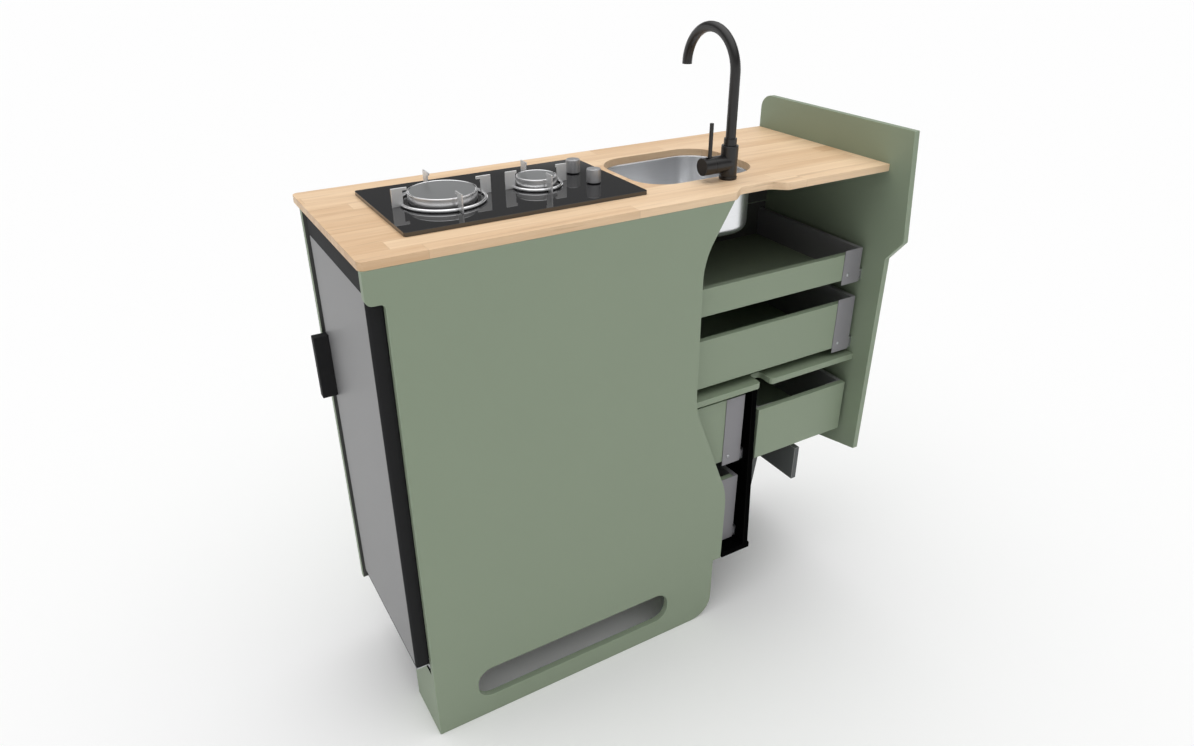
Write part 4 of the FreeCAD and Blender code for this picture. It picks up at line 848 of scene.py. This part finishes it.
class POD_OT_burners(Operator):
    """Turn the burners with their flame ports, caps and pan supports"""

    bl_idname = "pod.burners"
    bl_label = "Burners"

    def execute(self, context):
        look, sizes = chosen(context)
        for size, ports in (("large", sizes.large_ports), ("small", sizes.small_ports)):
            self.add_burner(size, ports, sizes, look)
            self.add_cap(size, look)
            self.add_support(size, sizes, look)
        return {"FINISHED"}

    def add_burner(self, size, ports, sizes, look):
        """A burner with teeth round its crown. The ports are the gaps between them."""
        node = f"{size}_burner"
        low, high, spot, flange = sized(node)
        glass_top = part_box("hob_glass")[1].z
        crown = flange - 0.006
        throat = flange - 0.021
        core = crown - sizes.port_depth
        seat = high.z - glass_top
        drop = low.z - glass_top
        foot = (spot.x, spot.y, glass_top)
        body = turned([
            (0, drop), (throat, drop), (throat, 0), (flange, 0), (flange, 0.001),
            (flange - 0.0008, 0.0014), (crown, 0.0015), (core, 0.0016), (core, seat - 0.0005),
            (crown, seat - 0.0004), (crown, seat), (0, seat)], [look.alloy], foot, segments=72)
        tooth_share = 0.62
        half = math.pi * crown / ports * tooth_share
        tooth = block(
            (-sizes.port_depth, -half, 0.0014), (0, half, seat - 0.0003), 0.0002, look.alloy, 1)
        stand_in(node, [body, round_circle(f"{node}_teeth", tooth, ports, crown, foot)])

    def add_cap(self, size, look):
        """A round cap with a turned side, a bright rim and a shallow dish in its top."""
        node = f"{size}_burner_cap"
        low, high, spot, radius = sized(node)
        top = high.z - low.z
        stand_in(node, [turned([
            (0, 0.002), (radius - 0.012, 0.002), (radius - 0.01, 0, 1), (radius - 0.001, 0, 1),
            (radius - 0.0003, 0.0003, 1), (radius, 0.001, 1), (radius, top - 0.003, 1),
            (radius, top - 0.0016, 2), (radius - 0.0002, top - 0.0008, 2),
            (radius - 0.0008, top - 0.0002, 2), (radius - 0.0016, top, 2),
            (radius - 0.0028, top - 0.0002, 2), (radius - 0.0036, top - 0.0008), (0, top - 0.0006)],
            [look.cap, look.cap_side, look.polished], (spot.x, spot.y, low.z), segments=96)])

    def add_support(self, size, sizes, look):
        """A polished ring with four upright wings, whose tips point inwards."""
        node = f"{size}_pan_support"
        low, high, spot, reach = sized(node)
        foot = (spot.x, spot.y, low.z)
        tall = high.z - low.z
        ring_radius = reach - sizes.wing_overhang
        thin, rise = sizes.support_wire, sizes.support_rise
        turns = [step * math.pi / 8 + math.pi for step in range(17)]
        ring = turned([(ring_radius + thin * math.cos(turn), rise + thin * math.sin(turn))
                       for turn in turns], [look.polished], foot, segments=96)
        near = sized(f"{size}_burner_cap")[3] + 0.003
        root = ring_radius - sizes.wing_root - near
        far = reach - near
        tip = tall - sizes.wing_tip
        wing = plate([(root, 0), (far, 0), (far, tall), (0, tall), (0, tip), (root, tip)],
                     0.0015, 0.0005, look.satin)
        stand_in(node, [ring, round_circle(f"{node}_wings", wing, 4, near, foot)])


class POD_OT_knobs(Operator):
    """Turn the hob knobs, each with a pointer line"""

    bl_idname = "pod.knobs"
    bl_label = "Hob knobs"

    def execute(self, context):
        look = chosen(context)[0]
        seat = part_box("hob_glass")[1].z + 0.0003
        for node in ("hob_knob_front", "hob_knob_rear"):
            low, high, spot, radius = sized(node)
            root = low.z - seat
            top = high.z - seat
            grip = turned([
                (0, root), (0.004, root), (0.004, 0), (radius - 0.0022, 0, 1),
                (radius - 0.0022, 0.0014), (radius - 0.0006, 0.0016), (radius, 0.0022),
                (radius, top - 0.002), (radius - 0.0006, top - 0.0006), (radius - 0.002, top),
                (radius - 0.0035, top - 0.0004), (0, top - 0.0004)],
                [look.knob, look.gap], (spot.x, spot.y, seat))
            pointer = block(
                (spot.x - 0.0007, spot.y + radius * 0.25, high.z - 0.0008),
                (spot.x + 0.0007, spot.y + radius * 0.76, high.z - 0.0001), 0.0002, look.mark, 1)
            stand_in(node, [grip, pointer])
        return {"FINISHED"}


class POD_OT_sink(Operator):
    """Finish the sink bowl, its waste and its pierced strainer"""

    bl_idname = "pod.sink"
    bl_label = "Sink"

    def execute(self, context):
        look, sizes = chosen(context)
        soften("sink_bowl", sizes.sheet_edge, look.sink, look.polished)
        soften("sink_waste", sizes.sheet_edge, look.waste)
        low, high, spot, radius = sized("sink_strainer")
        seat = high.z - STRAINER_KNOB - STRAINER_PLATE
        trim = turned([
            (0.0275, -0.0014), (0.0345, -0.0014), (0.0345, 0.00005), (0.033, 0.0001),
            (0.0275, -0.0001), (0.0275, -0.0014)], [look.polished], (spot.x, spot.y, seat - 0.0002))
        settle(joined("waste_trim_ring", [trim]), "carcass", SLOT_OF["sink_bowl"])
        self.add_strainer(sizes, look, spot, radius, seat, low.z - seat)
        bead = sizes.rim_bead
        rim = grown("sink_rolled_rim", bead_round_an_opening(), {
            "Length": sizes.bowl_length, "Depth": sizes.bowl_depth, "Corner": sizes.bowl_corner,
            "Bead Radius": bead, "Finish": look.polished,
        }, centre=(spot.x, spot.y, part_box("worktop")[0].z - bead))
        settle(joined("sink_rolled_rim", [rim], math.radians(60)), "carcass", SLOT_OF["sink_bowl"])
        return {"FINISHED"}

    def add_strainer(self, sizes, look, spot, radius, seat, drop):
        """A pierced plate with a rim, a cup below it and a knob on it."""
        half = STRAINER_PLATE / 2
        level = (spot.x, spot.y, seat + half)
        disc = grown("strainer_plate", pierced_plate(), {
            "Plate Radius": radius - 0.001, "Thickness": STRAINER_PLATE * 0.6,
            "Hole Radius": sizes.strainer_hole, "Inner Ring": radius * 0.4,
            "Middle Ring": radius * 0.58, "Outer Ring": radius * 0.76, "Finish": look.sink,
        }, centre=level)
        inner = radius - 0.003
        rim = turned([
            (inner, -half), (radius - 0.0006, -half), (radius, -half * 0.4), (radius, half * 0.4),
            (radius - 0.0006, half), (inner, half * 0.64), (inner, -half)], [look.polished], level)
        wall = 0.02
        inside = wall - 0.001
        floor = drop + 0.001
        basket = turned([
            (inside, 0), (inside, floor), (0, floor), (0, drop), (inside, drop), (wall, floor),
            (wall, 0), (inside, 0)], [look.sink], (spot.x, spot.y, seat))
        knob = turned([
            (0.0028, 0), (0.0024, 0.006), (0.0035, 0.0078), (0.005, 0.009), (0.0048, 0.011),
            (0.0035, STRAINER_KNOB), (0, STRAINER_KNOB)], [look.polished],
            (spot.x, spot.y, seat + STRAINER_PLATE), segments=32)
        stand_in("sink_strainer", [disc, rim, basket, knob])


class POD_OT_tap(Operator):
    """Coat the tap in matt black and fit its aerator"""

    bl_idname = "pod.tap"
    bl_label = "Tap"

    def execute(self, context):
        look, sizes = chosen(context)
        for node in ("tap_spout", "tap_lever_hub", "tap_lever"):
            soften(node, sizes.sheet_edge, look.tap)
        self.add_body(look)
        low, high, spot, _ = sized("tap_spout")
        tube = 0.0105
        mouth = high.z - 0.0925
        insert = grown("spout_aerator", pierced_plate(), {
            "Plate Radius": 0.0084, "Thickness": 0.002, "Hole Radius": sizes.aerator_hole,
            "Inner Ring": 0.0025, "Middle Ring": 0.0046, "Outer Ring": 0.0067, "Finish": look.zinc,
        }, centre=(spot.x, low.y + tube, mouth + 0.004))
        settle(joined("spout_aerator", [insert]), "spout", "rail_steel")
        return {"FINISHED"}

    def add_body(self, look):
        """The barrel on its foot, with the mixer's housing at its side."""
        low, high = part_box("tap_body")
        axis = sized("tap_spout")[2].x
        hub = sized("tap_lever_hub")[2]
        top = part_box("worktop")[1].z
        root = low.z - top
        rise = high.z - top
        barrel = turned([
            (0, root), (0.012, root), (0.012, 0), (0.0185, 0), (0.019, 0.0006), (0.019, 0.0052),
            (0.0183, 0.006), (0.0174, 0.006), (0.0174, 0.0068), (0.018, 0.0072),
            (0.018, rise - 0.0012), (0.0172, rise), (0.0092, rise), (0.0092, rise - 0.012),
            (0, rise - 0.012)], [look.tap], (axis, hub.y, top), segments=72)
        reach = high.x - axis
        housing = turned([(0, 0), (0.018, 0), (0.018, reach - 0.001), (0.0172, reach), (0, reach)],
                         [look.tap], (axis, hub.y, hub.z), SIDEWAYS, 72)
        stand_in("tap_body", [barrel, housing])


class POD_OT_fridge(Operator):
    """Finish the fridge's cabinet, liner, shelves, compressor and hinges"""

    bl_idname = "pod.fridge"
    bl_label = "Fridge"

    def execute(self, context):
        look, sizes = chosen(context)
        soften("fridge_cabinet", sizes.sheet_edge, look.shell)
        soften("fridge_liner", sizes.sheet_edge, look.liner)
        soften("fridge_shelves", sizes.board_edge, look.shelf, look.glass_edge)
        soften("fridge_compressor", sizes.sheet_edge, look.compressor)
        soften("door_hinges", sizes.sheet_edge, look.zinc)
        low, high, spot, half = sized("fridge_shelves")
        levels = (low.z, high.z - SHELF_THICKNESS)
        ledges = []
        for wall, inwards in ((low.y, 1), (high.y, -1)):
            near, far = sorted((0, sizes.ledge_reach * inwards))
            bar = block((-half, near, -sizes.ledge_height), (half, far, 0), 0.0008, look.liner)
            spots = [(spot.x, wall, level) for level in levels]
            ledges.append(on_spots("shelf_ledges", bar, spots))
        settle(joined("fridge_shelf_ledges", ledges), "carcass", SLOT_OF["fridge_liner"])
        front = high.x + 0.004
        trims = [block((high.x, low.y, level - 0.002), (front, high.y, level + 0.009), 0.001,
                       look.liner) for level in levels]
        settle(joined("fridge_shelf_trims", trims), "carcass", SLOT_OF["fridge_liner"])
        return {"FINISHED"}


class POD_OT_fridge_door(Operator):
    """Finish the fridge door with its sheet, gasket, liner, racks and handle"""

    bl_idname = "pod.fridge_door"
    bl_label = "Fridge door"

    def execute(self, context):
        look, sizes = chosen(context)
        soften("door_frame", sizes.board_edge, look.door_black)
        soften("door_panel", sizes.sheet_edge, look.door_grey, look.door_black)
        soften("door_gasket", sizes.board_edge, look.rubber)
        soften("door_liner", 0.003, look.liner, segments=3)
        soften("door_racks", sizes.board_edge, look.rack)
        soften("door_handle", 0.0016, look.door_black, segments=3)
        return {"FINISHED"}


class POD_OT_stage(Operator):
    """Set up the floor, the soft light and the camera"""

    bl_idname = "pod.stage"
    bl_label = "Studio"

    def execute(self, context):
        stage = context.scene.pod_stage
        context.scene.view_settings.view_transform = "Standard"
        self.add_floor(stage)
        self.add_light(context, stage)
        camera = bpy.data.cameras.new("photo_camera")
        camera.lens = stage.camera_lens
        camera.sensor_width = 36.0
        camera.sensor_fit = "HORIZONTAL"
        camera.clip_end = 300.0
        holder = add_object("photo_camera", camera)
        holder.location = stage.camera_place
        holder.rotation_euler = stage.camera_aim.to_track_quat("-Z", "Y").to_euler()
        context.scene.camera = holder
        return {"FINISHED"}

    def add_floor(self, stage):
        """A wide plain floor just under the pod."""
        level = cad_box[0].z - 0.0005
        reach = stage.floor_reach
        corners = [(x * reach, y * reach, level) for x, y in ((-1, -1), (1, -1), (1, 1), (-1, 1))]
        mesh = bpy.data.meshes.new("studio_floor")
        mesh.from_pydata(corners, [], [(0, 1, 2, 3)])
        mesh.materials.append(new_finish("studio_floor", {
            "Base Color": (*stage.floor_colour, 1.0), "Roughness": 0.9, "Specular IOR Level": 0.0,
        })[0])
        add_object("studio_floor", mesh)

    def add_light(self, context, stage):
        """A sky bright above and dim below, but white where it is seen or mirrored low down."""
        world = bpy.data.worlds.new("studio_sky")
        world.use_nodes = True
        tree = world.node_tree
        direction = tree.nodes.new("ShaderNodeTexCoord").outputs["Generated"]
        height = wire(tree, "ShaderNodeSeparateXYZ", {0: direction})["Z"]
        ramp = tree.nodes.new("ShaderNodeValToRGB")
        tree.links.new(height, ramp.inputs["Fac"])
        stops = ((0.0, stage.skyline), (0.12, stage.skyline), (0.18, stage.low_sky),
                 (0.45, stage.low_sky), (0.8, 0.78), (1.0, 1.0))
        bands = ramp.color_ramp.elements
        while len(bands) < len(stops):
            bands.new(1.0)
        for band, (place, share) in zip(bands, stops):
            band.position = place
            band.color = (share, share, share, 1.0)
        background = tree.nodes["Background"]
        tree.links.new(ramp.outputs["Color"], background.inputs["Color"])
        background.inputs["Strength"].default_value = stage.sky
        white = wire(tree, "ShaderNodeBackground", {"Color": (1.0, 1.0, 1.0, 1.0), "Strength": 1.0})
        rays = tree.nodes.new("ShaderNodeLightPath").outputs
        seen = maths(tree, "MAXIMUM", rays["Is Camera Ray"], rays["Is Glossy Ray"])
        seen = maths(tree, "MAXIMUM", seen, rays["Is Transmission Ray"])
        white_until, white_gone = 0.2, 0.26
        low = maths(tree, "SUBTRACT", 1.0, rising(tree, height, white_until, white_gone))
        both = wire(tree, "ShaderNodeMixShader", {
            0: maths(tree, "MULTIPLY", seen, low), 1: background.outputs[0], 2: white[0]})
        tree.links.new(both[0], tree.nodes["World Output"].inputs["Surface"])
        context.scene.world = world


class POD_PT_sidebar(Panel):
    """Lists the steps that dress the pod"""

    bl_idname = "POD_PT_sidebar"
    bl_label = "Kitchen pod"
    bl_space_type = "VIEW_3D"
    bl_region_type = "UI"
    bl_category = "Kitchen pod"

    def draw(self, context):
        for step in STEPS:
            self.layout.operator(step.bl_idname)


GROUPS = {"pod_colours": PodColours, "pod_sizes": PodSizes, "pod_stage": PodStage}
STEPS = (
    POD_OT_boards, POD_OT_worktop, POD_OT_drawers, POD_OT_hob_plate, POD_OT_burners, POD_OT_knobs,
    POD_OT_sink, POD_OT_tap, POD_OT_fridge, POD_OT_fridge_door, POD_OT_stage)
CLASSES = (*GROUPS.values(), *STEPS, POD_PT_sidebar)


def register():
    for kind in CLASSES:
        bpy.utils.register_class(kind)
    for name, kind in GROUPS.items():
        setattr(bpy.types.Scene, name, PointerProperty(type=kind))


def unregister():
    for name in GROUPS:
        delattr(bpy.types.Scene, name)
    for kind in reversed(CLASSES):
        bpy.utils.unregister_class(kind)


def main():
    register()
    bpy.ops.pod.boards()
    bpy.ops.pod.worktop()
    bpy.ops.pod.drawers()
    bpy.ops.pod.hob_plate()
    bpy.ops.pod.burners()
    bpy.ops.pod.knobs()
    bpy.ops.pod.sink()
    bpy.ops.pod.tap()
    bpy.ops.pod.fridge()
    bpy.ops.pod.fridge_door()
    bpy.ops.pod.stage()


if __name__ == "__main__":
    main()
